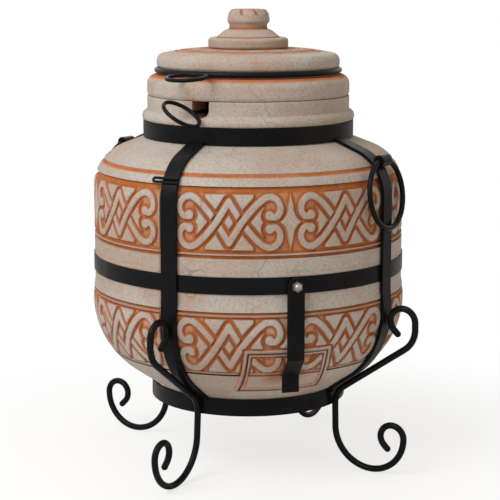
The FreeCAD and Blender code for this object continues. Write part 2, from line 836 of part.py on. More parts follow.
def make_ash_door():
    skin = door_thick_foot
    foot_radius = foot_line_radius(pot_bottom)
    end = bowl_corner(zero)
    inner_end = bowl_corner(-skin)
    top = bowl_centre_height
    form = turned("door_form", [
        (foot_radius - skin * straight_in, pot_bottom + skin * straight_down),
        (foot_radius, pot_bottom),
        (end[0], end[1], bowl_bend, 1),
        (bowl_centre_radius + bowl_bend, top),
        (bowl_centre_radius + bowl_bend - skin, top, bowl_bend - skin, -1),
        inner_end,
    ])
    half = opening_width / 2 - door_gap
    block = spin(box("door_block", (throat_radius, -half, sill_height),
                     (belly_radius + bar_thick, half, sill_height + opening_height - door_gap)),
                 door_azimuth.value)
    node("ash_door", common("ash_door", form, block))


# ---------------------------------------------------------------- iron bands and straps

def make_bands():
    for name, radius, low in (("neck_band", neck_band_radius, neck_band_low),
                              ("belly_band", belly_band_radius, belly_low),
                              ("base_band", base_radius, base_low)):
        node(name, turned(name, [
            (radius - bar_thick, low),
            (radius, low),
            (radius, low + bar_width),
            (radius - bar_thick, low + bar_width),
        ]))


strap_inner = belly_band_radius + gap
strap_offset = strap_inner - wall_radius
strap_outer = strap_inner + bar_thick
sides = (("front", 0, strap_turn), ("right", 90, -strap_turn),
         ("back", 180, strap_turn), ("left", 270, -strap_turn))


def strap_side(offset):
    """The strap's side line from the neck band down to the base band, moved out by offset."""
    reach = neck_band_radius + gap
    cone = cone_reach + strap_offset + offset
    leave = shoulder_point(strap_offset + offset)
    wall = strap_inner + offset
    bend = bowl_bend + gap + offset
    ease = strap_ease - offset
    ease_rise = root((ease + bend) * (ease + bend)
                     - (ease + wall - bowl_centre_radius) * (ease + wall - bowl_centre_radius))
    share = bend / (ease + bend)
    meet = (bowl_centre_radius + (ease + wall - bowl_centre_radius) * share,
            bowl_centre_height + ease_rise * share)
    end = bowl_corner(gap + offset)
    foot = base_radius + gap + offset
    foot_offset = (gap + offset) / straight_in
    foot_height = foot_meet[1] + (foot - foot_offset - foot_meet[0]) * tangent(foot_slope)
    return [
        (reach, (cone - reach * sine(shoulder_slope)) / cosine(shoulder_slope)),
        (leave[0], leave[1], shoulder_bend + strap_offset + offset, -1),
        (wall, shoulder_end),
        (wall, bowl_centre_height + ease_rise, ease, 1),
        (meet[0], meet[1], bend, -1),
        (end[0], end[1]),
        (foot, foot_height),
        (foot, base_top - strap_lap),
    ]


def reversed_side(side):
    """The same line walked the other way."""
    back = []
    for index in range(len(side) - 1, -1, -1):
        point = side[index][:2]
        before = side[index - 1] if index else ()
        back.append(point + ((before[2], -before[3]) if len(before) > 2 else ()))
    return back


def make_straps():
    for name, azimuth, turn in sides:
        label = "strap_" + name
        strap = padded(label, strap_side(zero) + reversed_side(strap_side(bar_thick)), bar_width)
        node(label, spin(strap, azimuth + turn.value))


# ---------------------------------------------------------------- legs

def leg_path():
    """The bar's centre line from the top scroll's tail to the foot scroll's tail."""
    half = leg_bar_diameter / 2
    touch = bowl_bend + gap + bar_thick + gap + half + top_scroll
    rise = top_scroll_height - bowl_centre_height
    scroll_reach = bowl_centre_radius + root(touch * touch - rise * rise)
    knee = scroll_reach + top_scroll
    ankle = base_radius + gap + half
    line_gap = gap + bar_thick + gap + half
    line = (foot_meet[0] + line_gap * straight_in, foot_meet[1] - line_gap * straight_down)
    turn_run = (as_size(1) - straight_in) / straight_down
    knee_run = knee_bend * turn_run
    knee_height = line[1] + (knee - line[0]) * tangent(foot_slope)
    ankle_run = ankle_bend * turn_run
    ankle_height = line[1] + (ankle - line[0]) * tangent(foot_slope)
    foot = ankle + foot_inner_bend
    toe = foot + foot_outer_bend
    toe_scroll = (toe - foot_scroll, half + foot_outer_bend)
    side = cosine(scroll_tail_turn)
    down = sine(scroll_tail_turn)

    def tail(centre, bend):
        curl = (centre[0] - bend * side, centre[1] - bend * down)
        return curl, (curl[0] + scroll_tail * down, curl[1] - scroll_tail * side)

    top_curl, top_tail = tail((scroll_reach, top_scroll_height), top_scroll)
    foot_curl, foot_tail = tail(toe_scroll, foot_scroll)
    over_top = (scroll_reach, top_scroll_height + top_scroll)
    over_toe = (toe_scroll[0], toe_scroll[1] + foot_scroll)
    return top_tail, foot_tail, [
        top_tail,
        (top_curl[0], top_curl[1], top_scroll, -1),
        (over_top[0], over_top[1], top_scroll, -1),
        (knee, top_scroll_height),
        (knee, knee_height + knee_run, knee_bend, -1),
        (knee - knee_run * straight_down, knee_height - knee_run * straight_in),
        (ankle + ankle_run * straight_down, ankle_height + ankle_run * straight_in, ankle_bend, 1),
        (ankle, ankle_height - ankle_run),
        (ankle, half + foot_inner_bend, foot_inner_bend, 1),
        (foot, half, foot_outer_bend, 1),
        (toe, toe_scroll[1], foot_scroll, 1),
        (over_toe[0], over_toe[1], foot_scroll, 1),
        foot_curl,
        foot_tail,
    ]


def make_legs():
    top_tail, foot_tail, path = leg_path()
    strap_shift = strap_inner * sine(strap_turn)
    lean = math.degrees(math.atan2(strap_shift.value, top_scroll_height.value))
    for name, azimuth, turn in sides:
        label = "leg_" + name
        bar = bent_bar(label + "_bar", path, leg_bar_diameter)
        tips = []
        for end_name, end in (("top", top_tail), ("foot", foot_tail)):
            tip = primitive("Sphere", f"{label}_{end_name}_tip", Radius=leg_bar_diameter / 2)
            place(tip, (end[0], zero, end[1]))
            tips.append(tip)
        leg = joined(label, bar, *tips)
        tilt = -lean if turn.value > 0 else lean
        node(label, spin(leg, azimuth, tilt, leg_bar_diameter.value / 2))


# ---------------------------------------------------------------- lid, cap and hinge

lid_low = neck_top + ring_height + gap
lid_edge_top = lid_low + lid_rim_height
lid_top = lid_edge_top + lid_edge_bend + lid_dome_rise
hoop_height = lid_low + hoop_rise
hoop_radius = lid_radius - hoop_sink + hoop_wire / 2
hoop_outer = hoop_radius + hoop_wire / 2


def make_lid():
    groove = hoop_wire / 2 + gap
    groove_in = lid_radius - lid_foot_inset
    reach = groove_in - hoop_radius
    groove_rise = root(groove * groove - reach * reach)
    step_radius = ring_bore_radius - lid_step_gap
    dome_start = lid_radius - lid_edge_bend
    dome_run = dome_start - lid_flat_radius
    dome_bend = (dome_run * dome_run + lid_dome_rise * lid_dome_rise) / (lid_dome_rise * 2)
    node("lid", turned("lid", [
        (vent_radius, lid_low - lid_step_depth),
        (step_radius, lid_low - lid_step_depth),
        (step_radius, lid_low),
        (groove_in, lid_low),
        (groove_in, hoop_height - groove_rise, groove, -1),
        (hoop_radius - groove, hoop_height, groove, -1),
        (groove_in, hoop_height + groove_rise),
        (lid_radius, hoop_height + groove_rise + lid_foot_inset),
        (lid_radius, lid_edge_top, lid_edge_bend, 1),
        (dome_start, lid_edge_top + lid_edge_bend, dome_bend, 1),
        (lid_flat_radius, lid_top),
        (vent_radius, lid_top),
    ]))


def make_lid_cap():
    low = lid_top + gap
    disc_top = low + cap_disc_thick
    cone_top = disc_top + cap_cone_rise
    neck_high = cone_top + cap_neck_height
    knob_top = neck_high + knob_height
    plug_radius = vent_radius - cap_plug_gap
    node("lid_cap", turned("lid_cap", [
        (zero, low - cap_plug_depth),
        (plug_radius, low - cap_plug_depth),
        (plug_radius, low),
        (cap_radius - cap_disc_bead, low, cap_disc_bead, 1),
        (cap_radius, low + cap_disc_bead),
        (cap_radius, disc_top - cap_disc_bead, cap_disc_bead, 1),
        (cap_radius - cap_disc_bead, disc_top),
        (cap_shoulder_radius, cone_top),
        (cap_neck_radius, cone_top + gap),
        (cap_neck_radius, neck_high),
        (knob_radius, neck_high + knob_low_bend),
        (knob_top_radius, knob_top - knob_dome),
        (zero, knob_top),
    ]))


def make_hoop_and_loop():
    hoop = torus("lid_hoop", hoop_radius, hoop_wire)
    place(hoop, (zero, zero, hoop_height))
    node("lid_hoop", hoop)
    ring = (loop_outer - loop_wire) / 2
    loop = torus("lid_loop", ring, loop_wire)
    reach = (hoop_outer + gap + loop_wire / 2).value
    droop = math.radians(loop_droop.value)
    centre = V(reach + ring.value * math.cos(droop), 0, hoop_height.value - ring.value * math.sin(droop))
    loop.Placement = FreeCAD.Placement(centre, FreeCAD.Rotation(V(0, 1, 0), loop_droop.value))
    node("lid_loop", spin(loop, 0))


def make_hinge():
    knuckle_radius = pin_diameter / 2 + pin_fit + knuckle_wall
    half = ear_inside / 2
    half_leaf = half - ear_play
    leaf_in = hoop_outer + gap
    knuckle = across_cylinder("hinge_knuckle", knuckle_radius, half_leaf, hinge_reach, hoop_height)
    plate = box("hinge_leaf_plate", (leaf_in, -half_leaf, hoop_height - bar_thick / 2),
                (hinge_reach, half_leaf, hoop_height + bar_thick / 2))
    bore_radius = pin_diameter / 2 + pin_fit
    leaf_bore = across_cylinder("hinge_leaf_bore", bore_radius, half, hinge_reach, hoop_height)
    leaf = cut("hinge_leaf", joined("hinge_leaf_blank", plate, knuckle), leaf_bore)
    node("hinge_leaf", spin(leaf, 180))

    web_in = hinge_reach + knuckle_radius + stop_gap
    web_out = web_in + bar_thick
    ear_top = hoop_height + ear_edge
    band_side = root(neck_band_radius * neck_band_radius - half * half) + gap
    clear_side = neck_roll_reach + bar_thick
    ear_in = hinge_reach - ear_edge
    low = neck_band_low + bracket_lift
    wide = ear_inside + bar_thick * 2
    blank = padded("hinge_bracket_blank", [
        (band_side, low),
        (web_out, low),
        (web_out, hoop_height + stop_rise),
        (web_in, hoop_height + stop_rise),
        (web_in, ear_top),
        (hinge_reach, ear_top, ear_edge, 1),
        (ear_in, hoop_height),
        (clear_side, neck_band_top + bar_width),
        (clear_side, neck_band_top - gap),
        (band_side, neck_band_top - gap),
    ], wide)
    channel = box("hinge_channel", (neck_radius, -half, low - bar_thick),
                  (web_in, half, hoop_height + stop_rise + bar_thick))
    bore = across_cylinder("hinge_ear_bore", bore_radius, wide, hinge_reach, hoop_height)
    node("hinge_bracket", spin(cut("hinge_bracket", blank, channel, bore), 180))

    shank = across_cylinder("hinge_pin_shank", pin_diameter / 2, wide / 2 + gap + pin_head_thick / 2,
                            hinge_reach, hoop_height)
    near = wide / 2 + gap
    heads = []
    for number, start in ((1, near + pin_head_thick), (2, -near)):
        head = primitive("Cylinder", f"hinge_pin_head_{number}", Radius=pin_head_diameter / 2,
                         Height=pin_head_thick)
        place(head, (hinge_reach, start, hoop_height), ALONG_Y)
        heads.append(head)
    node("hinge_pin", spin(joined("hinge_pin", shank, *heads), 180))


# ---------------------------------------------------------------- carrying handles

def make_handles():
    ring_radius = (handle_outer - handle_wire) / 2
    eye_half = bar_width / 2
    bow = ring_radius - root(ring_radius * ring_radius - eye_half * eye_half)
    bore = handle_wire / 2 + bow / 2 + gap
    off = shoulder_bend + strap_offset + bar_thick + gap + eye_outer / 2
    reach = shoulder_centre + off * cosine(eye_angle)
    height = shoulder_end + off * sine(eye_angle)
    rest = strap_outer + gap + handle_wire / 2
    hang = ring_radius * 2 - bow / 2
    lean = math.asin(((rest - reach) / hang).value)
    drop = (ring_radius - bow / 2).value
    for name, azimuth in (("right", 90 - strap_turn.value), ("left", 270 - strap_turn.value)):
        tube = across_cylinder(f"handle_eye_tube_{name}", eye_outer / 2, eye_half, reach, height)
        tunnel = across_cylinder(f"handle_eye_tunnel_{name}", bore, bar_width, reach, height)
        node(f"handle_eye_{name}", spin(cut(f"handle_eye_{name}", tube, tunnel), azimuth))
        ring = torus(f"handle_ring_{name}", ring_radius, handle_wire)
        centre = V(reach.value + drop * math.sin(lean), 0, height.value - drop * math.cos(lean))
        ring.Placement = FreeCAD.Placement(centre, FreeCAD.Rotation(V(0, 1, 0), 90 - math.degrees(lean)))
        node(f"handle_ring_{name}", spin(ring, azimuth))
    return reach, height, math.degrees(lean)


def make_tool_hook():
    """A wire hairpin across the front strap, its bend clear of the strap's edge."""
    off = shoulder_bend + strap_offset + bar_thick + gap + tool_wire / 2
    reach = shoulder_centre + off * cosine(tool_angle)
    height = shoulder_end + off * sine(tool_angle)
    half = tool_pitch / 2
    edge = bar_width / 2
    path = [
        (edge, half),
        (-edge - tool_reach + half, half, half, 1),
        (-edge - tool_reach, zero, half, 1),
        (-edge - tool_reach + half, -half),
        (edge, -half),
    ]
    hook = bent_bar("tool_hook", path, tool_wire)
    stand = FreeCAD.Rotation(V(0, 0, 1), 90)
    tip_back = FreeCAD.Rotation(V(0, 1, 0), -tool_angle.value)
    hook.Placement = FreeCAD.Placement(V(reach.value, 0, height.value), tip_back.multiply(stand))
    node("tool_hook", spin(hook, strap_turn.value))


def make_notch_hook():
    """A wire that lies on the notch's round, hooked over the neck, with a ring outside."""
    ring = (hook_ring_outer - hook_wire) / 2
    notch_half = notch_width / 2
    aside = neck_radius * sine(notch_azimuth - hook_azimuth)
    clear = notch_half - hook_wire / 2 - gap
    height = notch_low + notch_half - root(clear * clear - aside * aside)
    inside = mouth_radius - hook_bend - hook_wire / 2 - gap
    outside = neck_radius + hook_wire
    stem = bent_bar("notch_hook_stem", [
        (inside, height - hook_bend - hook_tip_drop),
        (inside, height - hook_bend, hook_bend, -1),
        (inside + hook_bend, height),
        (outside, height),
    ], hook_wire)
    eye = torus("notch_hook_ring", ring, hook_wire)
    eye.Placement = FreeCAD.Placement(V((outside + ring).value, 0, height.value),
                                      FreeCAD.Rotation(V(1, 0, 0), -hook_ring_roll.value))
    node("notch_hook", spin(joined("notch_hook", stem, eye), hook_azimuth.value))


# ---------------------------------------------------------------- door latch

def make_latch():
    stud_radius = latch_stud_diameter / 2
    washer_in = belly_band_radius + gap
    strap_in = washer_in + latch_washer_thick + gap
    strap_out = strap_in + bar_thick
    nut_in = strap_out + gap
    half = bar_width / 2
    head = latch_stud_height + latch_head

    stud = primitive("Cylinder", "latch_stud", Radius=stud_radius,
                     Height=nut_in + latch_nut_height - belly_band_radius)
    washer = primitive("Cylinder", "latch_washer_disc", Radius=latch_washer_diameter / 2,
                       Height=latch_washer_thick)
    washer_bore = primitive("Cylinder", "latch_washer_bore", Radius=stud_radius + latch_hole_gap,
                            Height=latch_washer_thick)
    hexagon = primitive("Prism", "latch_nut_hexagon", Height=latch_nut_height,
                        Circumradius=latch_nut_flats / root(as_size(3)))
    hexagon.Polygon = 6
    dome = primitive("Sphere", "latch_nut_dome", Radius=latch_nut_flats / 2 - gap)
    nut_bore = primitive("Cylinder", "latch_nut_bore", Radius=stud_radius + pin_fit,
                         Height=latch_nut_height + gap)
    for piece, start in ((stud, belly_band_radius), (washer, washer_in), (washer_bore, washer_in),
                         (hexagon, nut_in), (dome, nut_in + latch_nut_height), (nut_bore, nut_in)):
        place(piece, (start, zero, latch_stud_height), ALONG_X)
    node("latch_stud", spin(stud, latch_azimuth.value))
    node("latch_washer", spin(cut("latch_washer", washer, washer_bore), latch_azimuth.value))
    nut = cut("latch_nut", joined("latch_nut_blank", hexagon, dome), nut_bore)
    node("latch_nut", spin(nut, latch_azimuth.value))

    tab_in = bowl_reach(latch_joggle_low_height, bowl_bend) + latch_tab_clearance
    tab_out = tab_in + bar_thick
    side = padded("latch_side", [
        (strap_in, head),
        (strap_in, latch_joggle_top_height),
        (tab_in, latch_joggle_low_height),
        (tab_in, latch_tab_low),
        (tab_out, latch_tab_low),
        (tab_out, latch_joggle_low_height),
        (strap_out, latch_joggle_top_height),
        (strap_out, head),
    ], bar_width)
    face = padded("latch_face", [
        (-half, latch_tab_low - gap),
        (half, latch_tab_low - gap),
        (half, head - half, half, 1),
        (zero, head, half, 1),
        (-half, head - half),
    ], (strap_out + bar_thick) * 2, "YZ_Plane")
    hole = primitive("Cylinder", "latch_hole", Radius=stud_radius + latch_hole_gap, Height=bar_width)
    place(hole, (strap_in - half, zero, latch_stud_height), ALONG_X)
    blank = common("latch_blank", side, face)
    node("door_latch", spin(cut("door_latch", blank, hole), latch_azimuth.value))


# ---------------------------------------------------------------- grate

def make_grate():
    radius = ring_bore_radius - grate_clear
    low = ledge_height + gap
    disc = turned("grate_disc", [
        (zero, low), (radius, low), (radius, low + grate_thick), (zero, low + grate_thick)])
    field = radius - grate_rim
    slots = []
    count = int(field.value / grate_pitch.value)
    for index in range(-count, count + 1):
        across = grate_pitch * index
        half_run = root(field * field - across * across)
        half_slot = grate_slot / 2
        if half_run.value < grate_slot.value:
            continue
        slots.append(box(f"grate_slot_{index + count + 1}",
                         (across - half_slot, -half_run, low - gap),
                         (across + half_slot, half_run, low + grate_thick + gap)))
    all_slots = joined("grate_slots", *slots)
    node("grate", cut("grate", disc, all_slots))


# ---------------------------------------------------------------- build, check, write

def main():
    seam = belly_low + bar_width / 2
    neck_seam = neck_band_low + bar_width / 2
    make_pot_lower(seam)
    make_pot_wall(seam)
    make_pot_upper(neck_seam)
    make_pot_neck(neck_seam)
    make_friezes()
    make_hearth_ring()
    make_mouth_ring()
    make_ash_door()
    make_bands()
    make_straps()
    make_legs()
    make_lid()
    make_lid_cap()
    make_hoop_and_loop()
    make_hinge()
    reach, height, lean = make_handles()
    make_tool_hook()
    make_notch_hook()
    make_latch()
    make_grate()
    doc.recompute()
    for item in doc.Objects:
        if "Invalid" in item.State or "Error" in item.State:
            raise RuntimeError(f"{item.Label} failed: {item.State}")
    os.makedirs("parts", exist_ok=True)
    for name, solid in nodes.items():
        shape = solid.Shape
        if shape.isNull() or not shape.isValid() or len(shape.Solids) != 1:
            raise RuntimeError(f"{name} is not one valid solid")
        shape.exportStep(f"parts/{name}.step")
    print(f"hinge axis: y {hinge_reach.value:.1f}, z {hoop_height.value:.1f}")
    print(f"handle axis: reach {reach.value:.2f}, z {height.value:.2f}, rest lean {lean:.2f}")
    print(f"{len(nodes)} nodes")


main()
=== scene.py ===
"""Clay tandoor in a wrought-iron stand: the dressed model round its CAD frame.

Working sizes are in millimetres and become metres as a mesh is made.
Directions round the pot are azimuths in degrees: 0 is -Y, 90 is +X, 180 is +Y.
Outlines are complex numbers: the real part is the radius, the imaginary part the height.
"""
import json
import math
from functools import reduce

import bmesh
import bpy
import numpy as np
from bpy.props import FloatProperty, FloatVectorProperty, IntProperty, PointerProperty
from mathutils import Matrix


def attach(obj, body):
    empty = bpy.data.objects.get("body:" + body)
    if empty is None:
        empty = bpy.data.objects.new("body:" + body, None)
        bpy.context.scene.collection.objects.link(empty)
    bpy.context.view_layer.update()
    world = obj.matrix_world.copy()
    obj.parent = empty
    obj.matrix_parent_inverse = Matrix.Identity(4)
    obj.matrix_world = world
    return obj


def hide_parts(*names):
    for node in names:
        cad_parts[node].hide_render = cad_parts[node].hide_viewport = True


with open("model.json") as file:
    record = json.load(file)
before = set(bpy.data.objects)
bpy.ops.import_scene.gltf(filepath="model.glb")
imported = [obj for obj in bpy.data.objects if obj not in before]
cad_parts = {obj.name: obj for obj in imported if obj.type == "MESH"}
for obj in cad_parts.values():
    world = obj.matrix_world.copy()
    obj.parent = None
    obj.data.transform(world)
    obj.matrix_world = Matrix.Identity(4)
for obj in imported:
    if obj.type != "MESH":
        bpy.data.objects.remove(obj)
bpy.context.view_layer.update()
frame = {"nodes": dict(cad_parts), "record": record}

bl_info = {
    "name": "Clay Tandoor",
    "version": (1, 0, 0),
    "blender": (4, 5, 0),
    "location": "View3D > Sidebar > Tandoor",
    "description": "Builds a relief-carved clay tandoor in a wrought-iron stand",
    "category": "Object",
}

POT = "pot_and_stand"
MM = 0.001

# outline of the pot, the same numbers as the frame's solids
WALL = 239.2
WALL_THICK = 44.2
CHAMBER = WALL - WALL_THICK
SHOULDER_SLOPE = math.radians(21.4)
SHOULDER_BEND = 65.999
SHOULDER_END = 430.0
BOWL_CENTRE = complex(113.234, 258.0)
BOWL_BEND = 129.366
FOOT_SLOPE = math.radians(34.85)
BOWL_END = complex(187.158, 151.836)
POT_BOTTOM = 104.0
SILL = 147.0
BELLY_LOW, BELLY_HIGH, BELLY_SEAT = 303.3, 328.3, 236.1
NECK_LOW, NECK_HIGH, NECK_SEAT = 507.0, 532.0, 157.6
NECK, NECK_TOP, MOUTH = 155.5, 569.0, 112.0
BELLY_SEAM, NECK_SEAM, SEAM_GAP = 315.8, 519.5, 0.3
DOOR_AZIMUTH, DOOR_WIDTH, DOOR_TOP, DOOR_GAP = 45.0, 121.0, 216.0, 2.5
DOOR_THICK = 29.0
HEARTH_EDGE = 234.1
ASH_CUT_REACH = (92.0, 262.0)
NOTCH_AZIMUTH, NOTCH_WIDTH, NOTCH_LOW = 3.5, 28.0, 544.0
NOTCH_REACH = (90.0, 180.0)
HOOP_HEIGHT, HOOP_RADIUS, HOOP_WIRE = 607.5, 140.0, 8.0
LID_LOW = 601.3

# Friezes: their edges, the middle and upward stretch of the pattern, how far the ochre is worn
# off the ground, and the border lines as (low, high, raised); raised below 0 is a groove.
UPPER_FRIEZE = dict(
    low=354.4, high=457.0, middle=407.0, stretch=1.05, worn=0.3,
    lines=((354.0, 358.8, -1.0), (358.8, 362.0, 1.0), (362.0, 366.0, -1.0), (447.6, 457.5, -1.0)))
LOWER_FRIEZE = dict(
    low=177.6, high=277.5, middle=226.0, stretch=1.1, worn=0.6,
    lines=((177.0, 179.7, -0.5), (179.7, 182.3, 1.0), (182.3, 184.3, -1.0),
           (267.6, 270.0, -1.0), (270.0, 274.6, 0.25), (274.6, 278.0, -1.0)))
FIELD_HALF = 38.2
TIP_HEIGHT = 39.5
BED_DEPTH, RING_THICK = 7.3, 7.0
FINE_STEP, CARVED_STEP, INNER_STEP, BED_STEP = 0.5, 1.32, 6.0, 12.0
PER_DEGREE = WALL * math.pi / 180
FAR = 1e3


# ---- settings

class TandoorSizes(bpy.types.PropertyGroup):
    relief_depth: FloatProperty(
        name="Relief depth", description="Depth of the carved ground in mm", default=3.2, min=0)
    band_width: FloatProperty(
        name="Band width", description="Width of the interlaced bands in mm", default=10.0)
    groove_width: FloatProperty(
        name="Groove width", description="Gap between bands and islands in mm", default=4.5)
    frieze_columns: IntProperty(
        name="Frieze columns", description="Mesh columns round each frieze", default=1080, min=72)
    turned_columns: IntProperty(
        name="Turned columns", description="Mesh columns round each turned piece",
        default=256, min=32)
    wobble: FloatProperty(
        name="Hand-made wobble", description="Unevenness of the clay in mm", default=0.8, min=0)


COLOUR = dict(subtype="COLOR", size=3)


class TandoorColours(bpy.types.PropertyGroup):
    slip: FloatVectorProperty(
        name="Slip", description="Pale clay surface", default=(0.45, 0.41, 0.375), **COLOUR)
    slip_warm: FloatVectorProperty(
        name="Warm slip", description="Pinker patches of the clay",
        default=(0.395, 0.31, 0.25), **COLOUR)
    ochre: FloatVectorProperty(
        name="Ochre", description="Stain in the carved ground",
        default=(0.46, 0.134, 0.028), **COLOUR)
    # Dark ochre also serves as painted shade along carved edges and in the lid's and cap's grooves.
    ochre_dark: FloatVectorProperty(
        name="Dark ochre", description="Stain gathered along the cut edges",
        default=(0.20, 0.058, 0.018), **COLOUR)
    iron: FloatVectorProperty(
        name="Iron", description="Black stove paint", default=(0.0045, 0.0045, 0.005), **COLOUR)
    floor: FloatVectorProperty(
        name="Floor", description="Pale floor", default=(0.9, 0.9, 0.9), **COLOUR)


def sizes():
    return bpy.context.scene.tandoor_sizes


def colours():
    return bpy.context.scene.tandoor_colours


# ---- outlines

def joined(*parts):
    return np.concatenate(parts)


def most(*values):
    """The greatest of the values at each place; least gives the smallest."""
    return reduce(np.maximum, values)


def least(*values):
    return reduce(np.minimum, values)


def trace(corners, step=FINE_STEP, closed=False):
    """Points along lines and arcs. A corner (x, y, radius, turn) starts an arc to the next
    corner; turn is 1 to bend left and -1 to bend right."""
    runs = []
    count = len(corners) if closed else len(corners) - 1
    for index in range(count):
        corner = corners[index]
        following = corners[(index + 1) % len(corners)]
        start, end = complex(*corner[:2]), complex(*following[:2])
        chord = end - start
        if len(corner) == 2:
            share = np.linspace(0, 1, max(2, int(abs(chord) / step) + 1))[:-1]
            runs.append(start + chord * share)
            continue
        radius, turn = corner[2:]
        rise = math.sqrt(max(radius ** 2 - abs(chord) ** 2 / 4, 0))
        centre = (start + end) / 2 + 1j * chord / abs(chord) * rise * turn
        sweep = np.angle((end - centre) / (start - centre))
        share = np.linspace(0, 1, max(3, int(abs(sweep) * radius / step) + 1))[:-1]
        runs.append(centre + (start - centre) * np.exp(1j * sweep * share))
    if not closed:
        runs.append(np.array([complex(*corners[-1][:2])]))
    return np.concatenate(runs)


def run_of(line):
    """Distance along a line from its start to each point."""
    return joined([0], np.cumsum(np.abs(np.diff(line))))


def even(line, step, closed=False):
    """The same line with points at even distances along it."""
    if closed:
        line = np.append(line, line[0])
    along = run_of(line)
    count = max(4, int(round(along[-1] / step)))
    places = np.linspace(0, along[-1], count + 1)
    if closed:
        places = places[:-1]
    return np.interp(places, along, line.real) + 1j * np.interp(places, along, line.imag)


def soften(line, reach, closed):
    """Each point becomes the bell-weighted mean of its neighbours, which rounds the corners."""
    half = max(1, int(reach * 6))
    offsets = np.arange(-half, half + 1)
    weights = np.exp(-0.5 * (offsets / (reach * 2)) ** 2)
    weights /= weights.sum()
    if closed:
        before, after = line[-half:], line[:half]
    else:
        before, after = 2 * line[0] - line[half:0:-1], 2 * line[-1] - line[-2:-half - 2:-1]
    padded = joined(before, line, after)
    return (np.convolve(padded.real, weights, "valid")
            + 1j * np.convolve(padded.imag, weights, "valid"))


def rounded_outline(corners, reach, step, closed=True):
    """Corners traced, softened over reach, and spaced step apart."""
    line = even(trace(corners, FINE_STEP, closed), FINE_STEP, closed)
    line = soften(line, reach, closed)
    return even(line, step, closed)


def arc_reach(radius, rise):
    """How far a circle reaches sideways at a rise from its middle."""
    return np.sqrt(most(radius ** 2 - rise ** 2, 0))


def pot_radius(height):
    """Outside radius at a height: foot cone, bowl arc, wall, shoulder arc, shoulder cone."""
    height = np.asarray(height, float)
    cone = BOWL_END.real + (height - BOWL_END.imag) / math.tan(FOOT_SLOPE)
    bowl = BOWL_CENTRE.real + arc_reach(BOWL_BEND, height - BOWL_CENTRE.imag)
    wall_foot = BOWL_CENTRE.imag + math.sqrt(BOWL_BEND ** 2 - (WALL - BOWL_CENTRE.real) ** 2)
    centre = WALL - SHOULDER_BEND
    shoulder = centre + arc_reach(SHOULDER_BEND, height - SHOULDER_END)
    arc_top = SHOULDER_END + SHOULDER_BEND * math.cos(SHOULDER_SLOPE)
    upper_cone = (centre + SHOULDER_BEND * math.sin(SHOULDER_SLOPE)
                  - (height - arc_top) / math.tan(SHOULDER_SLOPE))
    return np.select(
        [height < BOWL_END.imag, height < wall_foot, height < SHOULDER_END, height < arc_top],
        [cone, bowl, WALL, shoulder], upper_cone)


def pot_side(low, high, step, inset=0.0):
    """The pot's outside from one height to another, at even distances along it."""
    heights = np.linspace(low, high, 400)
    return even(pot_radius(heights) - inset + 1j * heights, step)


# ---- meshes

MERGE_REACH = 2e-6
SHARP_ANGLE = math.radians(38)


def linked(name, data):
    """A new object in the scene."""
    made = bpy.data.objects.new(name, data)
    bpy.context.scene.collection.objects.link(made)
    return made


def grid_object(name, points, close_rows=False, close_columns=False):
    """A mesh of quads over a grid of points, wrapped where a direction is closed."""
    rows, columns = points.shape[:2]
    number = np.arange(rows * columns).reshape(rows, columns)
    if close_rows:
        number = joined(number, number[:1])
    if close_columns:
        number = np.concatenate([number, number[:, :1]], axis=1)
    quads = np.stack([number[:-1, :-1], number[:-1, 1:], number[1:, 1:], number[1:, :-1]], axis=-1)
    quads = np.ascontiguousarray(quads.reshape(-1, 4), dtype=np.int32)
    vertices = np.ascontiguousarray(points.reshape(-1, 3) * MM, dtype=np.float32)
    mesh = bpy.data.meshes.new(name)
    mesh.vertices.add(len(vertices))
    mesh.vertices.foreach_set("co", vertices.ravel())
    mesh.loops.add(quads.size)
    mesh.loops.foreach_set("vertex_index", quads.ravel())
    mesh.polygons.add(len(quads))
    mesh.polygons.foreach_set("loop_start", np.arange(0, quads.size, 4, dtype=np.int32))
    mesh.update(calc_edges=True)
    return linked(name, mesh)


def tidy_mesh(piece, caps=False):
    """Merge doubles, close open ends, point faces outwards and shade smooth up to an angle."""
    work = bmesh.new()
    work.from_mesh(piece.data)
    bmesh.ops.remove_doubles(work, verts=work.verts, dist=MERGE_REACH)
    if caps:
        bmesh.ops.holes_fill(work, edges=work.edges, sides=0)
    bmesh.ops.recalc_face_normals(work, faces=work.faces)
    work.to_mesh(piece.data)
    work.free()
    piece.data.shade_smooth()
    piece.data.set_sharp_from_angle(angle=SHARP_ANGLE)
    return piece


def tube(name, points):
    """A closed piece from rings of points in rows, with a face over each end."""
    return tidy_mesh(grid_object(name, points, close_columns=True), caps=True)


def carve_out(piece, *cutters):
    """Take cutters away from a closed piece, for good."""
    for cutter in cutters:
        modifier = piece.modifiers.new("cut", "BOOLEAN")
        modifier.operation, modifier.solver, modifier.object = "DIFFERENCE", "EXACT", cutter
    depsgraph = bpy.context.evaluated_depsgraph_get()
    result = bpy.data.meshes.new_from_object(piece.evaluated_get(depsgraph))
    piece.modifiers.clear()
    piece.data = result
    for cutter in cutters:
        bpy.data.objects.remove(cutter)
    return tidy_mesh(piece)


def at_azimuth(reach, across, height, azimuth):
    """Points given by reach outwards, distance across and height, turned to an azimuth."""
    angle = math.radians(azimuth)
    x = reach * math.sin(angle) + across * math.cos(angle)
    y = -reach * math.cos(angle) + across * math.sin(angle)
    return np.stack(np.broadcast_arrays(x, y, height), axis=-1)


def block(name, reach, across, height, azimuth):
    """A cutter box between pairs of reach, across and height at an azimuth."""
    grid = np.array([[[reach[a], across[b], height[c]] for a, b in ((0, 0), (1, 0), (1, 1), (0, 1))]
                     for c in (0, 1)], float)
    return tube(name, at_azimuth(grid[..., 0], grid[..., 1], grid[..., 2], azimuth))


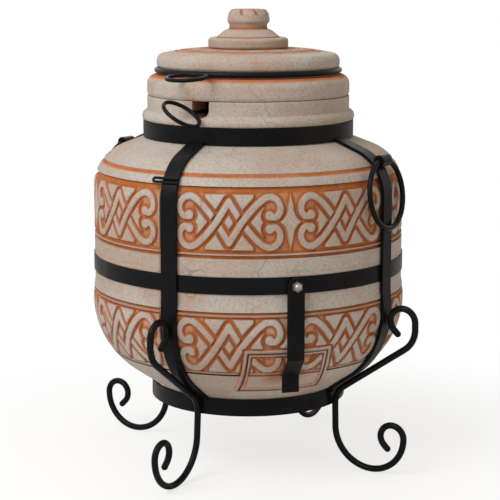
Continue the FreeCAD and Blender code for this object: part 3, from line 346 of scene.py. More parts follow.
def sweep(name, path, section, scale, azimuth, lean, lean_height):
    """A section carried along a path in an upright plane. Each ring is the path point plus the
    section's first number along the path's normal and its second across the plane; the plane
    then leans sideways about a line at the lean height."""
    ahead = np.gradient(path)
    normal = 1j * ahead / np.abs(ahead)
    plane = path[:, None] + normal[:, None] * section.real[None, :] * scale[:, None]
    across = section.imag[None, :] * scale[:, None] + 0 * plane.real
    tilt = math.radians(lean)
    rise = plane.imag - lean_height
    height = lean_height + across * math.sin(tilt) + rise * math.cos(tilt)
    across = across * math.cos(tilt) - rise * math.sin(tilt)
    return tube(name, at_azimuth(plane.real, across, height, azimuth))


# ---- carving

def smooth_step(value, low, high):
    """0 up to low, 1 from high on, a smooth cubic between; it falls where low is above high."""
    share = np.clip((value - low) / (high - low), 0, 1)
    return share * share * (3 - 2 * share)


def line_at(value, middle, full, end):
    """1 within a full half width of a line's middle, 0 beyond its end, smooth between."""
    return 1 - smooth_step(np.abs(value - middle), full, end)


def bell(value, middle, width):
    """A bell curve that is 1 at its middle."""
    return np.exp(-((value - middle) / width) ** 2)


def volute_line():
    """Middle line of the band from the lower point up to the curled head, as one smooth curve
    through given points: each stretch is a cubic with tangents from its neighbours."""
    marks = np.array([0 - 28.2j, 9.2 - 14.0j, 18.6 + 0j, 28.8 + 12.6j, 38.4 + 22.9j, 46.0 + 29.4j,
                      52.5 + 33.2j, 59.0 + 34.4j, 65.5 + 32.6j, 70.9 + 27.6j, 73.4 + 20.6j,
                      72.6 + 13.4j, 68.4 + 8.0j, 63.0 + 6.9j, 58.4 + 9.0j])
    slope = np.gradient(marks)
    share = np.linspace(0, 1, 10, endpoint=False)[None, :]
    start, end = marks[:-1, None], marks[1:, None]
    leave, arrive = slope[:-1, None], slope[1:, None]
    curve = ((2 * share ** 3 - 3 * share ** 2 + 1) * start
             + (share ** 3 - 2 * share ** 2 + share) * leave
             + (3 * share ** 2 - 2 * share ** 3) * end + (share ** 3 - share ** 2) * arrive)
    return np.append(curve.ravel(), marks[-1])


VOLUTE_HEAD = 58.4 + 9.0j
HEAD_RADIUS, HEAD_CLEARANCE = 6.9, 12.3
LEAF_END, LEAF_HEIGHT = 51, 25
TRIANGLE_END = 35.5
CROSSING_HEIGHT = 17


def distance_to_band(place, line):
    """Distance from each place to the nearest point of the band's middle line."""
    best = np.full(place.shape, FAR)
    for point in line:
        np.minimum(best, np.abs(place - point), out=best)
    return best


def knot(u, w, band, groove):
    """How far inside the raised part of one knot a place is: positive on the bands and
    islands, negative in the ground. The rising bands lie over the falling ones."""
    place = u + 1j * w
    turned = (place, -place, np.conj(place), -np.conj(place))
    line = volute_line()
    distances = [distance_to_band(each, line) for each in turned]
    rising, falling = least(*distances[:2]), least(*distances[2:])
    heads = least(*(np.abs(each - VOLUTE_HEAD) for each in turned))
    half = band / 2
    crossing = np.where(np.abs(w) < CROSSING_HEIGHT, rising - half - groove * 0.6, FAR)
    bands = most(half - rising, least(half - falling, crossing), HEAD_RADIUS - heads)
    away = least(rising, falling) - half - groove
    leaf = least(away, heads - HEAD_CLEARANCE, LEAF_END - np.abs(u))
    leaf = np.where(np.abs(w) < LEAF_HEIGHT, leaf, -FAR)
    triangles = least(away, FIELD_HALF - np.abs(w), (TRIANGLE_END - np.abs(u)) * 0.8)
    return most(bands, leaf, triangles)


def spindle_half_width(w):
    """Half width of the four-pointed island between two knots: a hollow arc round the volutes,
    then straight to its tip."""
    rise = np.abs(w)
    arc_top, arc_centre, arc_radius = 20, 27.5, 22.85
    hollow = arc_centre - arc_reach(arc_radius, arc_top - least(rise, arc_top))
    half_at_top = arc_centre - arc_radius
    tip = half_at_top * (TIP_HEIGHT - rise) / (TIP_HEIGHT - arc_top)
    return np.where(rise < arc_top, hollow, tip)


def turn_from(azimuth, angle):
    """The turn from an azimuth to an angle, from -180 to 180 degrees."""
    return (angle - azimuth + 180) % 360 - 180


def corner_distance(angle):
    """Distance along the wall from the nearest quarter of the circle."""
    return np.abs((angle + 45) % 90 - 45) * PER_DEGREE


KNOT_PITCH, WIDE_PITCH = 42.6, 45.2
CORNER_RIDGE = (7.4, 10.6)


def panel(angle, w):
    """Inside distance of the whole carved band at an azimuth and a height from its middle."""
    settings = sizes()
    quarter = np.floor(angle / 90)
    offset = angle - 45 - 90 * quarter
    pitch = np.where(quarter % 2 == 0, KNOT_PITCH, WIDE_PITCH)
    side = np.where(offset < 0, -1.0, 1.0)
    u = (offset - side * pitch / 2) * PER_DEGREE
    inside = knot(u, w, settings.band_width, settings.groove_width)
    widen = (pitch - KNOT_PITCH) / 2 * PER_DEGREE
    below_tip = TIP_HEIGHT - np.abs(w)
    spindle = (spindle_half_width(w) + widen * smooth_step(below_tip, 0, TIP_HEIGHT)
               - np.abs(offset) * PER_DEGREE) * 0.85
    inside = most(inside, least(spindle, below_tip))
    edge = corner_distance(angle)
    near, far = CORNER_RIDGE
    return np.where(edge < far, least(edge - near, far - edge), inside)


def door_distance(angle, height):
    """Distance outside the ash opening's rectangle, negative on the door."""
    turn = turn_from(DOOR_AZIMUTH, angle)
    across = pot_radius(height) * np.sin(np.radians(turn))
    beyond = most(np.abs(across) - DOOR_WIDTH / 2, height - DOOR_TOP, SILL - height)
    return np.where(np.abs(turn) < 60, beyond, FAR)


def carving(angle, height, frieze):
    """Inside distance on a frieze ring: its pattern, its borders and the door frame."""
    inside = panel(angle, (height - frieze["middle"]) / frieze["stretch"])
    for low, high, raised in frieze["lines"]:
        within = least(height - low, high - height)
        inside = np.where(within >= 0, raised * least(within + 0.4, 2.0), inside)
    if frieze is LOWER_FRIEZE:
        beyond = door_distance(angle, height)
        ridge = np.where(beyond < 0, least(-beyond, beyond + 5.4), least(beyond + 1, 5.2 - beyond))
        frame_field = (beyond > -8.2) & (beyond < 8.0)
        inside = np.where(frame_field, np.clip(ridge, -2.5, 5), inside)
        inside = np.where(height < frieze["low"] - 0.5, 5.0, inside)
    return inside


def plain_relief(angle, height):
    """Depth and stain, both 0 to 1, of the plain clay's own lines: the upright grooves beside
    the straps, the line on the shoulder, the thin line over the belly band and the door frame."""
    edge = corner_distance(angle)
    upright = line_at(edge, 6.1, 0.9, 2.4)
    upright = upright * smooth_step(height, 125, 150) * smooth_step(height, 468, 462)
    shoulder = line_at(height, 471.0, 1.5, 3.4)
    thin = 0.3 * line_at(height, 334.0, 0.3, 1.2)
    depth = most(upright * 0.7, shoulder * 0.6, thin)
    stain = most(upright * 0.45, shoulder, thin * 0.6)
    beyond = door_distance(angle, height)
    frame_line = 0.45 * line_at(beyond, 6.4, 0.5, 1.4) * (height > SILL)
    door_line = 0.5 * line_at(beyond, -6.6, 0.6, 1.6) * (height > SILL)
    return most(depth, frame_line, door_line), most(stain, frame_line, door_line)


def wobble(angle, height):
    """Hand-made unevenness, always inwards: a few slow waves round and up the clay."""
    turn = np.radians(angle)
    waves = (0.5 * np.sin(2 * turn + 0.7 + height / 210) + 0.3 * np.sin(3 * turn + height / 95)
             + 0.2 * np.sin(7 * turn - height / 41) + 0.15 * np.sin(19 * turn + height / 23))
    return (waves - 1.15) * 0.5 * sizes().wobble


def coordinates(piece):
    co = np.empty(len(piece.data.vertices) * 3, np.float32)
    piece.data.vertices.foreach_get("co", co)
    return co.reshape(-1, 3)


def polar(piece):
    """Radius, azimuth and height of each vertex, in millimetres and degrees."""
    x, y, z = coordinates(piece).T.astype(float) / MM
    return np.hypot(x, y), np.degrees(np.arctan2(x, -y)) % 360, z


def relief_depth(inside):
    """How deep the carving is, 0 to 1, and a soft crown on the raised parts."""
    return smooth_step(inside, 0.8, -0.9) + 0.12 * np.exp(-most(inside, 0) / 1.6)


def stain_and_shade_clay(piece, frieze, extra):
    """Store each vertex's ochre and dark marks: the plain lines', the carved ground's with painted
    shade along its cut edges, painted shade along the ash door's gap, and the piece's own."""
    radius, angle, height = polar(piece)
    outside = radius > pot_radius(height) - 6
    ochre = plain_relief(angle, height)[1] * outside
    dark = ochre * 0.15
    if frieze is not None:
        inside = carving(angle, height, frieze)
        middle = frieze["worn"] * smooth_step(-inside, 1.8, 5.0)
        ground = smooth_step(inside, 1.5, -0.5) * (1 - middle)
        ochre = most(ochre, ground * outside)
        # painted shade: a dark line just inside each groove's edge; the firing crack is a real mark
        dark = most(bell(inside, -0.6, 1), firing_crack(angle, height)) * outside
    # painted shade: a dark line along the ash door's gap, darker on its left side
    door_gap_shade = np.where(turn_from(DOOR_AZIMUTH, angle) < 0, 1.6, 1.0)
    door_gap_shade = door_gap_shade * bell(door_distance(angle, height), 0, 2.0)
    dark = most(dark, door_gap_shade * outside)
    if extra is not None:
        more_ochre, more_dark = extra(radius, angle, height)
        ochre, dark = most(ochre, more_ochre), most(dark, more_dark)
    for name, value in (("ochre", ochre), ("dark", dark)):
        layer = piece.data.attributes.new(name, "FLOAT", "POINT")
        layer.data.foreach_set("value", np.ascontiguousarray(value, dtype=np.float32))


def firing_crack(angle, height):
    """A hairline crack down the left side of the knot beside the front strap."""
    path = 14.4 + (440 - height) * 0.012
    path = path + 0.5 * np.sin(height / 9) + 0.25 * np.sin(height / 3.3 + 1)
    along = smooth_step(height, 372, 380) * smooth_step(height, 444, 438)
    return 0.9 * along * bell(angle, path, 0.2)


def full_turn(count):
    return np.linspace(0, 360, count, endpoint=False)


def spread(outline, angles):
    """Radius, azimuth and height of an outline's points swung round to each angle."""
    fill = np.zeros((len(outline), len(angles)))
    return outline.real[:, None] + fill, angles + fill, outline.imag[:, None] + fill


def polar_points(radius, angle, height):
    """Points at a radius, an azimuth and a height."""
    turn = np.radians(angle)
    return np.stack([radius * np.sin(turn), -radius * np.cos(turn), height], axis=-1)


def swung(name, points, closed=True):
    """A mesh piece from rows of points that run round the axis."""
    return tidy_mesh(grid_object(name, points, closed, True))


def turned_piece(name, outline, closed=True, moved=None, columns=None):
    """A turned clay piece: an outline swung round the axis, with its unevenness."""
    radius, angle, height = spread(outline, full_turn(columns or sizes().turned_columns))
    change = wobble(angle, height) * least(radius / 100, 1)
    if moved is not None:
        change = change + moved(radius, angle, height)
    return swung(name, polar_points(radius + change, angle, height), closed)


def wall_angles():
    """Azimuths for the plain clay: close together beside the straps, wider elsewhere."""
    coarse = np.arange(0, 360, 1.25)
    fine = np.concatenate([quarter + np.arange(-4, 4, 0.3) for quarter in (0, 90, 180, 270)]) % 360
    door = DOOR_AZIMUTH + np.arange(-22, 22, 0.45)
    far = (corner_distance(coarse) > 17.5) & (np.abs(coarse - DOOR_AZIMUTH) > 22.3)
    return np.sort(joined(coarse[far], fine, door))


def wall_piece(name, outline):
    """A plain part of the pot: an outline swung round, with its own lines on its outside."""
    radius, angle, height = spread(outline, wall_angles())
    outside = np.abs(radius - pot_radius(height)) < 0.4
    depth, _ = plain_relief(angle, height)
    change = outside * (wobble(angle, height) - depth * sizes().relief_depth)
    return swung(name, polar_points(radius + change, angle, height))


def outward(line):
    """Unit direction out of the wall at each point of a line that runs upwards."""
    slope = np.gradient(line)
    return (-1j * slope / np.abs(slope))[:, None]


def frieze_piece(name, frieze):
    """A carved ring in the pot's wall: its outside is the pot's side less the carving."""
    outer = pot_side(frieze["low"], frieze["high"], CARVED_STEP)
    inner = pot_side(frieze["low"], frieze["high"], BED_STEP, RING_THICK)[::-1]
    angles = full_turn(sizes().frieze_columns)
    _, angle, height = spread(outer, angles)
    carved = relief_depth(carving(angle, height, frieze))
    depth = most(carved, plain_relief(angle, height)[0]) * sizes().relief_depth
    moved = outer[:, None] - outward(outer) * depth
    front = polar_points(moved.real + wobble(angle, height), angle, moved.imag)
    return swung(name, joined(front, polar_points(*spread(inner, angles))))


# ---- finishes

def fill_inputs(node, **inputs):
    """Give a node's inputs, named with _ for a blank or numbered as i0, a value or a link."""
    for key, value in inputs.items():
        numbered = key[0] == "i" and key[1:].isdigit()
        socket = node.inputs[int(key[1:]) if numbered else key.replace("_", " ")]
        if isinstance(value, bpy.types.NodeSocket):
            node.id_data.links.new(value, socket)
        else:
            socket.default_value = value


def node_of(tree, kind, settings=None, out=0, **inputs):
    """An output of a new shader node with its settings and inputs."""
    made = tree.nodes.new("ShaderNode" + kind)
    for key, value in (settings or {}).items():
        setattr(made, key, value)
    fill_inputs(made, **inputs)
    return made.outputs[out]


def math_of(operation, first, second):
    """Two inputs worked out and kept from 0 to 1, in the tree that they are in."""
    tree = (second if isinstance(first, float) else first).id_data
    settings = {"operation": operation, "use_clamp": True}
    return node_of(tree, "Math", settings, i0=first, i1=second)


def times(first, second):
    return math_of("MULTIPLY", first, second)


def ramp(value, low, high, first=0.0, last=1.0, kind="SMOOTHSTEP"):
    """The first number up to low, the last from high on, smooth or straight between."""
    return node_of(value.id_data, "MapRange", {"interpolation_type": kind},
                   i0=value, i1=low, i2=high, i3=first, i4=last)


def mixed(share, first, second):
    return node_of(share.id_data, "Mix", {"data_type": "RGBA"}, 2, i0=share, i6=first, i7=second)


def tinted(base, mask, strength, colour):
    """The base with a colour laid over it where a mask is."""
    return mixed(times(mask, strength), base, colour)


def noise_of(place, scale, detail=3.0, roughness=0.55):
    return node_of(place.id_data, "TexNoise", out="Fac", Vector=place, Scale=scale,
                   Detail=detail, Roughness=roughness)


def bump_of(height, strength, distance):
    return node_of(height.id_data, "Bump", Height=height, Strength=strength, Distance=distance)


def new_finish(name):
    """A new material's node tree, its shader and the object's coordinates."""
    material = bpy.data.materials.new(name)
    material.use_nodes = True
    tree = material.node_tree
    tree.nodes.clear()
    shader = tree.nodes.new("ShaderNodeBsdfPrincipled")
    fill_inputs(tree.nodes.new("ShaderNodeOutputMaterial"), Surface=shader.outputs[0])
    return tree, shader, node_of(tree, "TexCoord", out="Object")


def rgba(colour):
    return (*colour, 1.0)


def shaded(colour, share, lift=0.0):
    return rgba([channel * share + lift for channel in colour])


def clay_finish(name):
    """Pale slip over ochre clay: warm patches, specks, pits and hairline cracks, with ochre in
    the carved ground and painted shade along its edges and in the lid's and cap's grooves."""
    shade = colours()
    tree, shader, place = new_finish(name)
    patches = ramp(noise_of(place, 5.5, 4.0), 0.38, 0.66)
    base = mixed(patches, rgba(shade.slip), rgba(shade.slip_warm))
    grain = noise_of(place, 260.0, 2.0, 0.7)
    base = tinted(base, ramp(grain, 0.40, 0.70), 0.45, shaded(shade.slip_warm, 0.72))
    specks = ramp(noise_of(place, 430.0, 1.0), 0.655, 0.73)
    base = tinted(base, specks, 0.6, (0.11, 0.075, 0.06, 1.0))
    blush = ramp(noise_of(place, 23.0, 5.0, 0.7), 0.56, 0.72)
    base = tinted(base, blush, 0.35, rgba(shade.ochre))
    ochre, dark = (node_of(tree, "Attribute", {"attribute_name": name}, "Fac")
                   for name in ("ochre", "dark"))
    wear = ramp(noise_of(place, 48.0, 4.0, 0.65), 0.25, 0.55)
    worn = ramp(wear, 0.0, 1.0, 0.72, 1.0, "LINEAR")
    stain = mixed(ramp(noise_of(place, 30.0, 4.0), 0.3, 0.7),
                  rgba(shade.ochre), shaded(shade.ochre, 0.78))
    base = tinted(base, ochre, worn, stain)
    # dark marks: cracks and smoke stains, and painted shade along groove edges and in grooves
    base = tinted(base, dark, 0.55, rgba(shade.ochre_dark))
    stray = node_of(tree, "TexNoise", out="Color", Vector=place, Scale=18.0)
    strayed = node_of(tree, "MixRGB", {"blend_type": "ADD"}, Fac=0.12, Color1=place, Color2=stray)
    edges = node_of(tree, "TexVoronoi", {"feature": "DISTANCE_TO_EDGE"}, "Distance",
                    Scale=7.0, Vector=strayed)
    crack = math_of("SUBTRACT", 1.0, ramp(edges, 0.0015, 0.006))
    crack = times(crack, ramp(noise_of(place, 6.0, 1.0), 0.52, 0.60))
    base = tinted(base, crack, 0.5, (0.14, 0.08, 0.05, 1.0))
    pits = ramp(noise_of(place, 150.0, 2.0, 0.6), 0.30, 0.46)
    height = math_of("ADD", times(pits, 0.5), times(grain, 0.35))
    height = math_of("SUBTRACT", height, times(crack, 0.4))
    fill_inputs(shader, Base_Color=base, Roughness=0.88, Specular_IOR_Level=0.25,
                Normal=bump_of(height, 0.6, 0.0012))


# Each iron's colour (None is the settings' own), metallic, roughness from and to, grain scale
# and grain depth.
IRONS = {"wrought_iron": (None, 0.0, (0.26, 0.42), 90.0, 0.0004),
         "bolt_steel": ((0.33, 0.32, 0.31), 1.0, (0.22, 0.4), 160.0, 0.0002),
         "cast_iron": ((0.035, 0.032, 0.03), 0.6, (0.55, 0.75), 300.0, 0.0006)}


def iron_finish(name, colour, metallic, roughness, grain, depth):
    """Satin stove paint over hammered bar: slow roughness patches, a fine grain and dust."""
    colour = colour or colours().iron
    shader, place = new_finish(name)[1:]
    dust = ramp(noise_of(place, 14.0, 5.0, 0.7), 0.45, 0.75)
    base = tinted(rgba(colour), dust, 0.35, shaded(colour, 1.8, 0.002))
    rough = ramp(noise_of(place, 35.0, 4.0), 0.3, 0.7, *roughness, "LINEAR")
    hammer = math_of("ADD", times(noise_of(place, grain, 2.0), 0.7),
                     times(noise_of(place, grain * 7, 1.0), 0.15))
    fill_inputs(shader, Base_Color=base, Metallic=metallic, Roughness=rough,
                Specular_IOR_Level=0.5 if metallic else 0.08,
                Normal=bump_of(hammer, 0.5, depth))


def finish_of(slot):
    """The material of a slot, made at its first use."""
    name = {"clay": "fired_clay", "wrought_iron": "black_iron"}.get(slot, slot)
    if name not in bpy.data.materials:
        if slot == "clay":
            clay_finish(name)
        else:
            iron_finish(name, *IRONS[slot])
    return bpy.data.materials[name]


def dress(piece, material):
    piece.data.materials.clear()
    piece.data.materials.append(material)


def finish_piece(piece, body, slot, *nodes):
    """Give a new piece its slot's material, its body and the frame nodes that it stands for."""
    dress(piece, finish_of(slot))
    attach(piece, body)
    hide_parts(*nodes)


def finish_clay(piece, *nodes, body=POT, frieze=None, extra=None):
    """Stain a clay piece, with its painted shade, and let it stand for its frame nodes."""
    stain_and_shade_clay(piece, frieze, extra)
    finish_piece(piece, body, "clay", *nodes)


# ---- clay pieces

def cut_ash_opening(piece):
    """Cut the ash opening through a closed piece."""
    half = DOOR_WIDTH / 2
    cutter = block("ash_cutter", ASH_CUT_REACH, (-half, half), (SILL, DOOR_TOP), DOOR_AZIMUTH)
    return carve_out(piece, cutter)


class TANDOOR_OT_bowl(bpy.types.Operator):
    """Build the bowl from its foot to the belly band, with the ash opening"""
    bl_idname = "tandoor.bowl"
    bl_label = "Bowl"

    def execute(self, context):
        low, high = LOWER_FRIEZE["low"], LOWER_FRIEZE["high"]
        foot = (float(pot_radius(POT_BOTTOM)), POT_BOTTOM)
        inner = trace([
            (BELLY_SEAT, BELLY_LOW), (BELLY_SEAT, BELLY_SEAM), (CHAMBER, BELLY_SEAM),
            (CHAMBER, HEARTH_EDGE, BOWL_BEND - WALL_THICK, -1), (161.9, 188.1),
            (102.9, SILL), (0, SILL)], INNER_STEP)
        outline = joined(
            trace([(0, POT_BOTTOM), foot], 8.0)[:-1], pot_side(POT_BOTTOM, low, 2.5),
            pot_side(low, high, BED_STEP, BED_DEPTH), pot_side(high, BELLY_LOW, 2.5), inner)
        bowl = cut_ash_opening(wall_piece("clay_bowl", outline))
        finish_clay(bowl, "pot_lower", extra=door_smudge)
        return {"FINISHED"}


def door_smudge(radius, angle, height):
    """Ochre smears on and under the ash door's plain foot, and smoke beside its latch."""
    beyond = door_distance(angle, height)
    across = (angle - DOOR_AZIMUTH) * PER_DEGREE * 0.85
    cloud = (0.75 * bell(across, 2, 30) * bell(height, 179, 6)
             + 0.35 * bell(across, -4, 36) * bell(height, 168, 9))
    stain = most(cloud * (beyond < -6), 0.5 * bell(beyond, -3, 2.5)) * (beyond < 0)
    smoke = (0.8 * bell(across, -22, 10) * bell(height, 173, 6)
             + 1.1 * bell(across, 20, 8) * bell(height, 184, 5))
    return stain * (height < 184), smoke * (beyond < -3)


class TANDOOR_OT_shoulder(bpy.types.Operator):
    """Build the wall and the shoulder of the pot, up to the neck band"""
    bl_idname = "tandoor.shoulder"
    bl_label = "Shoulder"

    def execute(self, context):
        low, high = UPPER_FRIEZE["low"], UPPER_FRIEZE["high"]
        centre = WALL - SHOULDER_BEND
        bend = SHOULDER_BEND - WALL_THICK
        inner_end = (centre + bend * math.sin(SHOULDER_SLOPE),
                     SHOULDER_END + bend * math.cos(SHOULDER_SLOPE))
        seam = BELLY_SEAM + SEAM_GAP
        inner = trace([
            (NECK_SEAT, NECK_LOW + 0.5), (NECK_SEAT, NECK_SEAM), (MOUTH, NECK_SEAM),
            (MOUTH, 477.4), (*inner_end, bend, -1), (CHAMBER, SHOULDER_END), (CHAMBER, seam)],
            INNER_STEP)
        outline = joined(
            trace([(BELLY_SEAT, seam), (BELLY_SEAT, BELLY_HIGH)], INNER_STEP),
            pot_side(BELLY_HIGH, low, 1.6), pot_side(low, high, BED_STEP, BED_DEPTH),
            pot_side(high, NECK_LOW, 1.6), inner)
        finish_clay(wall_piece("clay_shoulder", outline), "pot_wall", "pot_upper")
        return {"FINISHED"}


class TANDOOR_OT_friezes(bpy.types.Operator):
    """Build the two carved rings of interlaced bands"""
    bl_idname = "tandoor.friezes"
    bl_label = "Friezes"

    def execute(self, context):
        upper = frieze_piece("clay_frieze_upper", UPPER_FRIEZE)
        finish_clay(upper, "frieze_upper", frieze=UPPER_FRIEZE)
        lower = cut_ash_opening(frieze_piece("clay_frieze_lower", LOWER_FRIEZE))
        finish_clay(lower, "frieze_lower", frieze=LOWER_FRIEZE)
        return {"FINISHED"}


class TANDOOR_OT_ash_door(bpy.types.Operator):
    """Build the ash door, whose face carries on the bowl's carving"""
    bl_idname = "tandoor.ash_door"
    bl_label = "Ash door"

    def execute(self, context):
        half = DOOR_WIDTH / 2 - DOOR_GAP
        foot = SILL + SEAM_GAP
        side = pot_side(foot, DOOR_TOP - DOOR_GAP, 1.3)
        across = np.linspace(-half, half, 92)
        normal = outward(side)
        height = side.imag[:, None] + 0 * across
        angle = DOOR_AZIMUTH + np.degrees(np.arcsin(across / side.real[:, None]))
        carved = relief_depth(carving(angle, height, LOWER_FRIEZE))
        plain, _ = plain_relief(angle, height)
        depth = np.where(height > LOWER_FRIEZE["low"], carved, plain) * sizes().relief_depth
        face = side[:, None] - normal * (depth + 0.4) + wobble(angle, height)
        rear = (side[:, None] - normal * DOOR_THICK + 0 * across)[::-12]
        rear = rear.real + 1j * most(rear.imag, foot)
        sheet = joined(face, rear)
        reach = arc_reach(sheet.real, across)
        points = at_azimuth(reach, across, sheet.imag, DOOR_AZIMUTH)
        door = grid_object("clay_ash_door", points, close_rows=True)
        finish_clay(tidy_mesh(door, caps=True), "ash_door", frieze=LOWER_FRIEZE, extra=door_smudge)
        return {"FINISHED"}


class TANDOOR_OT_neck(bpy.types.Operator):
    """Build the neck with its notch, the mouth ring and the hearth ring inside"""
    bl_idname = "tandoor.neck"
    bl_label = "Neck and mouth ring"

    def execute(self, context):
        neck = turned_piece("clay_neck", rounded_outline([
            (MOUTH, NECK_SEAM + SEAM_GAP), (NECK_SEAT, NECK_SEAM + SEAM_GAP),
            (NECK_SEAT, NECK_HIGH), (162.0, NECK_HIGH + 0.8, 10.0, 1), (NECK, 548.0),
            (NECK, NECK_TOP), (MOUTH, NECK_TOP)], 0.8, 1.6))
        half = NOTCH_WIDTH / 2
        middle = NOTCH_LOW + half
        slot = block("notch_slot", NOTCH_REACH, (-half, half), (middle, NECK_TOP + 3),
                     NOTCH_AZIMUTH)
        rim = round_section(NOTCH_WIDTH, 48)
        reach = np.array(NOTCH_REACH)[:, None]
        points = at_azimuth(reach, rim.real, middle + rim.imag, NOTCH_AZIMUTH)
        carve_out(neck, slot, tube("notch_round", points))
        finish_clay(neck, "pot_neck", extra=notch_stain)
        ring = turned_piece("clay_mouth_ring", rounded_outline([
            (106, 569.3), (153.2, 569.3), (155.5, 574), (155.5, 587, 14, 1), (141.5, 601),
            (111, 601, 5, 1), (106, 596)], 0.9, 1.6))
        finish_clay(ring, "mouth_ring", extra=ring_stain)
        bed_bend = BOWL_BEND - WALL_THICK - SEAM_GAP
        hearth = turned_piece("clay_hearth_ring", rounded_outline([
            (92, 212), (184.7, 212, bed_bend, 1), (194.7, 234), (194.7, 242), (92, 242)],
            0.8, 3.0), columns=128)
        finish_clay(hearth, "hearth_ring")
        return {"FINISHED"}


def notch_stain(radius, angle, height):
    """Bare ochre clay inside the notch."""
    near = np.abs(np.radians(turn_from(NOTCH_AZIMUTH, angle))) * radius
    inside = (near < NOTCH_WIDTH / 2 + 0.3) & (height > NOTCH_LOW - 0.5) & (radius < NECK - 1.5)
    return inside * 0.8, inside * 0.15


def ring_stain(radius, angle, height):
    """Ochre on the mouth ring's top, where the lid sits."""
    top = smooth_step(height, 593.5, 597.0) * smooth_step(radius, 153, 148)
    return top * 0.95, top * 0.1


DOME_RUN, DOME_RISE = 65.5, 7.0
DOME_BEND = (DOME_RUN ** 2 + DOME_RISE ** 2) / (2 * DOME_RISE)
LID_OUTLINE = [
    (36, 593.3), (100, 593.3), (100, LID_LOW), (139, LID_LOW), (139, 603.4, 4.3, -1),
    (135.7, HOOP_HEIGHT, 4.3, -1), (138, 611.6), (140.5, 615.2), (140.5, 621.8, 11.2, 1),
    (129.5, 633.0, DOME_BEND, 1), (64, 640.0), (36, 640.0)]
LID_GROOVES = (110.5, 102.5)
CAP_OUTLINE = [
    (0, 630.6), (33, 630.6), (33, 640.3), (58, 640.3, 3.6, 1), (61.5, 644), (61.5, 651.2, 5, 1),
    (56.8, 656.2), (51, 656.8), (49.4, 655.0), (47.8, 657.8), (37, 666.6), (29.2, 669.6),
    (28.7, 675.6), (33.3, 680.4), (33.2, 684), (31, 692.5), (27, 698.2), (21, 699.3), (0, 699.4)]


def lid_pattern(radius, angle):
    """A ring of leaf shapes round the cap, as an inside distance: half an ellipse's height less
    the distance from the ring's middle, with a groove inside its edge."""
    count, ring_middle, half_height = 14, 83, 11.0
    turn = ((angle * count / 360) % 1 - 0.5) * 2
    leaf = half_height * arc_reach(1, turn) - np.abs(radius - ring_middle)
    return np.where(np.abs(leaf - 5) < 1.3, -0.5, leaf)


def lid_stain_and_shade(radius, angle, height):
    """Ochre in the lid's grooves, between the leaf shapes, on the border round them and at the
    foot of its side; painted shade in its grooves and along the leaves' edges."""
    top = smooth_step(height, 628, 631)
    ring = most(*(line_at(radius, line, 0.9, 2.8) for line in LID_GROOVES))
    field = (radius > 60) & (radius < 99)
    leaf = lid_pattern(radius, angle)
    ground = field * smooth_step(leaf, 0.8, -0.8) * 0.85
    border = 0.8 * (radius > 97) * (radius < 112.5) * (np.abs(radius - 106.5) > 1.6)
    foot = smooth_step(height, 606, 603.5) * 0.5
    # painted shade: dark along the leaves' edges
    edge = 0.9 * field * bell(leaf, -0.4, 1.3)
    # the grooves' dark share is painted shade
    return most(most(ring, ground, border) * top, foot), most(ring * 0.8, edge) * top


def cap_stain_and_shade(radius, angle, height):
    """Ochre round the knob's neck, in the disc's groove, on the top and in the rim's chips;
    painted shade in the disc's groove and the knob's crease.
    """
    neck = line_at(height, 672.0, 1.8, 4.0)
    # painted shade in the crease at the knob's neck
    knob_crease_shade = 1.2 * line_at(height, 670.0, 0.5, 1.6) * (radius < 32)
    step = line_at(radius, 49.4, 1.2, 2.8) * (height > 652) * (height < 664)
    turn = np.radians(angle)
    dent = smooth_step(height, 694.5, 698) * (0.4 + 0.4 * np.sin(turn * 5 + radius / 6))
    chip = np.clip(np.sin(7 * turn + 1.0) + 0.7 * np.sin(17 * turn + height / 3) - 0.25, 0, 1)
    chip = chip * smooth_step(height, 688, 693) * smooth_step(height, 699.2, 698.4)
    # the disc's groove is also darkened as painted shade
    return most(neck * 0.75, step * 0.95, dent * 0.6, chip * 0.7), most(step * 0.9, knob_crease_shade, chip)


class TANDOOR_OT_lid(bpy.types.Operator):
    """Build the lid and its knob stopper"""
    bl_idname = "tandoor.lid"
    bl_label = "Lid and stopper"

    def execute(self, context):
        outline = rounded_outline(LID_OUTLINE, 0.9, 1.4)
        top = (outline.imag > 630) & (outline.real > 62)
        groove = sum(line_at(outline.real, line, 0.6, 2.2) * 1.8 for line in LID_GROOVES)
        lid = turned_piece("clay_lid", outline - 1j * top * groove)
        press_pattern(lid)
        finish_clay(lid, "lid", body="lid", extra=lid_stain_and_shade)
        outline = rounded_outline(CAP_OUTLINE, 0.7, 1.3, closed=False)
        outline = outline.real.clip(0) + 1j * outline.imag
        cap = turned_piece("clay_stopper", outline, closed=False, moved=knob_dents, columns=192)
        finish_clay(cap, "lid_cap", body="lid_cap", extra=cap_stain_and_shade)
        return {"FINISHED"}


def press_pattern(lid):
    """Lower the ground between the lid's leaf shapes by a millimetre."""
    radius, angle, height = polar(lid)
    ground = (radius > 64) & (radius < 99) & (height > 630)
    drop = ground * smooth_step(lid_pattern(radius, angle), 0.8, -0.8) * 1.1
    co = coordinates(lid)
    co[:, 2] -= (drop * MM).astype(np.float32)
    lid.data.vertices.foreach_set("co", co.ravel())
    lid.data.update()


def knob_dents(radius, angle, height):
    """Thumb marks on the knob, always inwards."""
    turn = np.radians(angle)
    on_knob = smooth_step(height, 674, 682) * least(radius / 20, 1)
    return -on_knob * (0.9 + 0.5 * np.sin(5 * turn + 0.6) + 0.4 * np.sin(8 * turn + height / 5))


# ---- iron pieces

def round_section(diameter, count=20):
    return diameter / 2 * np.exp(1j * np.linspace(0, 2 * math.pi, count, endpoint=False))


def bar_ends(path, diameter):
    """Section scale along a bar whose two ends are rounded off."""
    along = run_of(path)
    half = diameter / 2
    from_end = least(along, along[-1] - along)
    return np.sqrt(np.clip(1 - (1 - least(from_end / half, 1)) ** 2, 0.0025, 1))


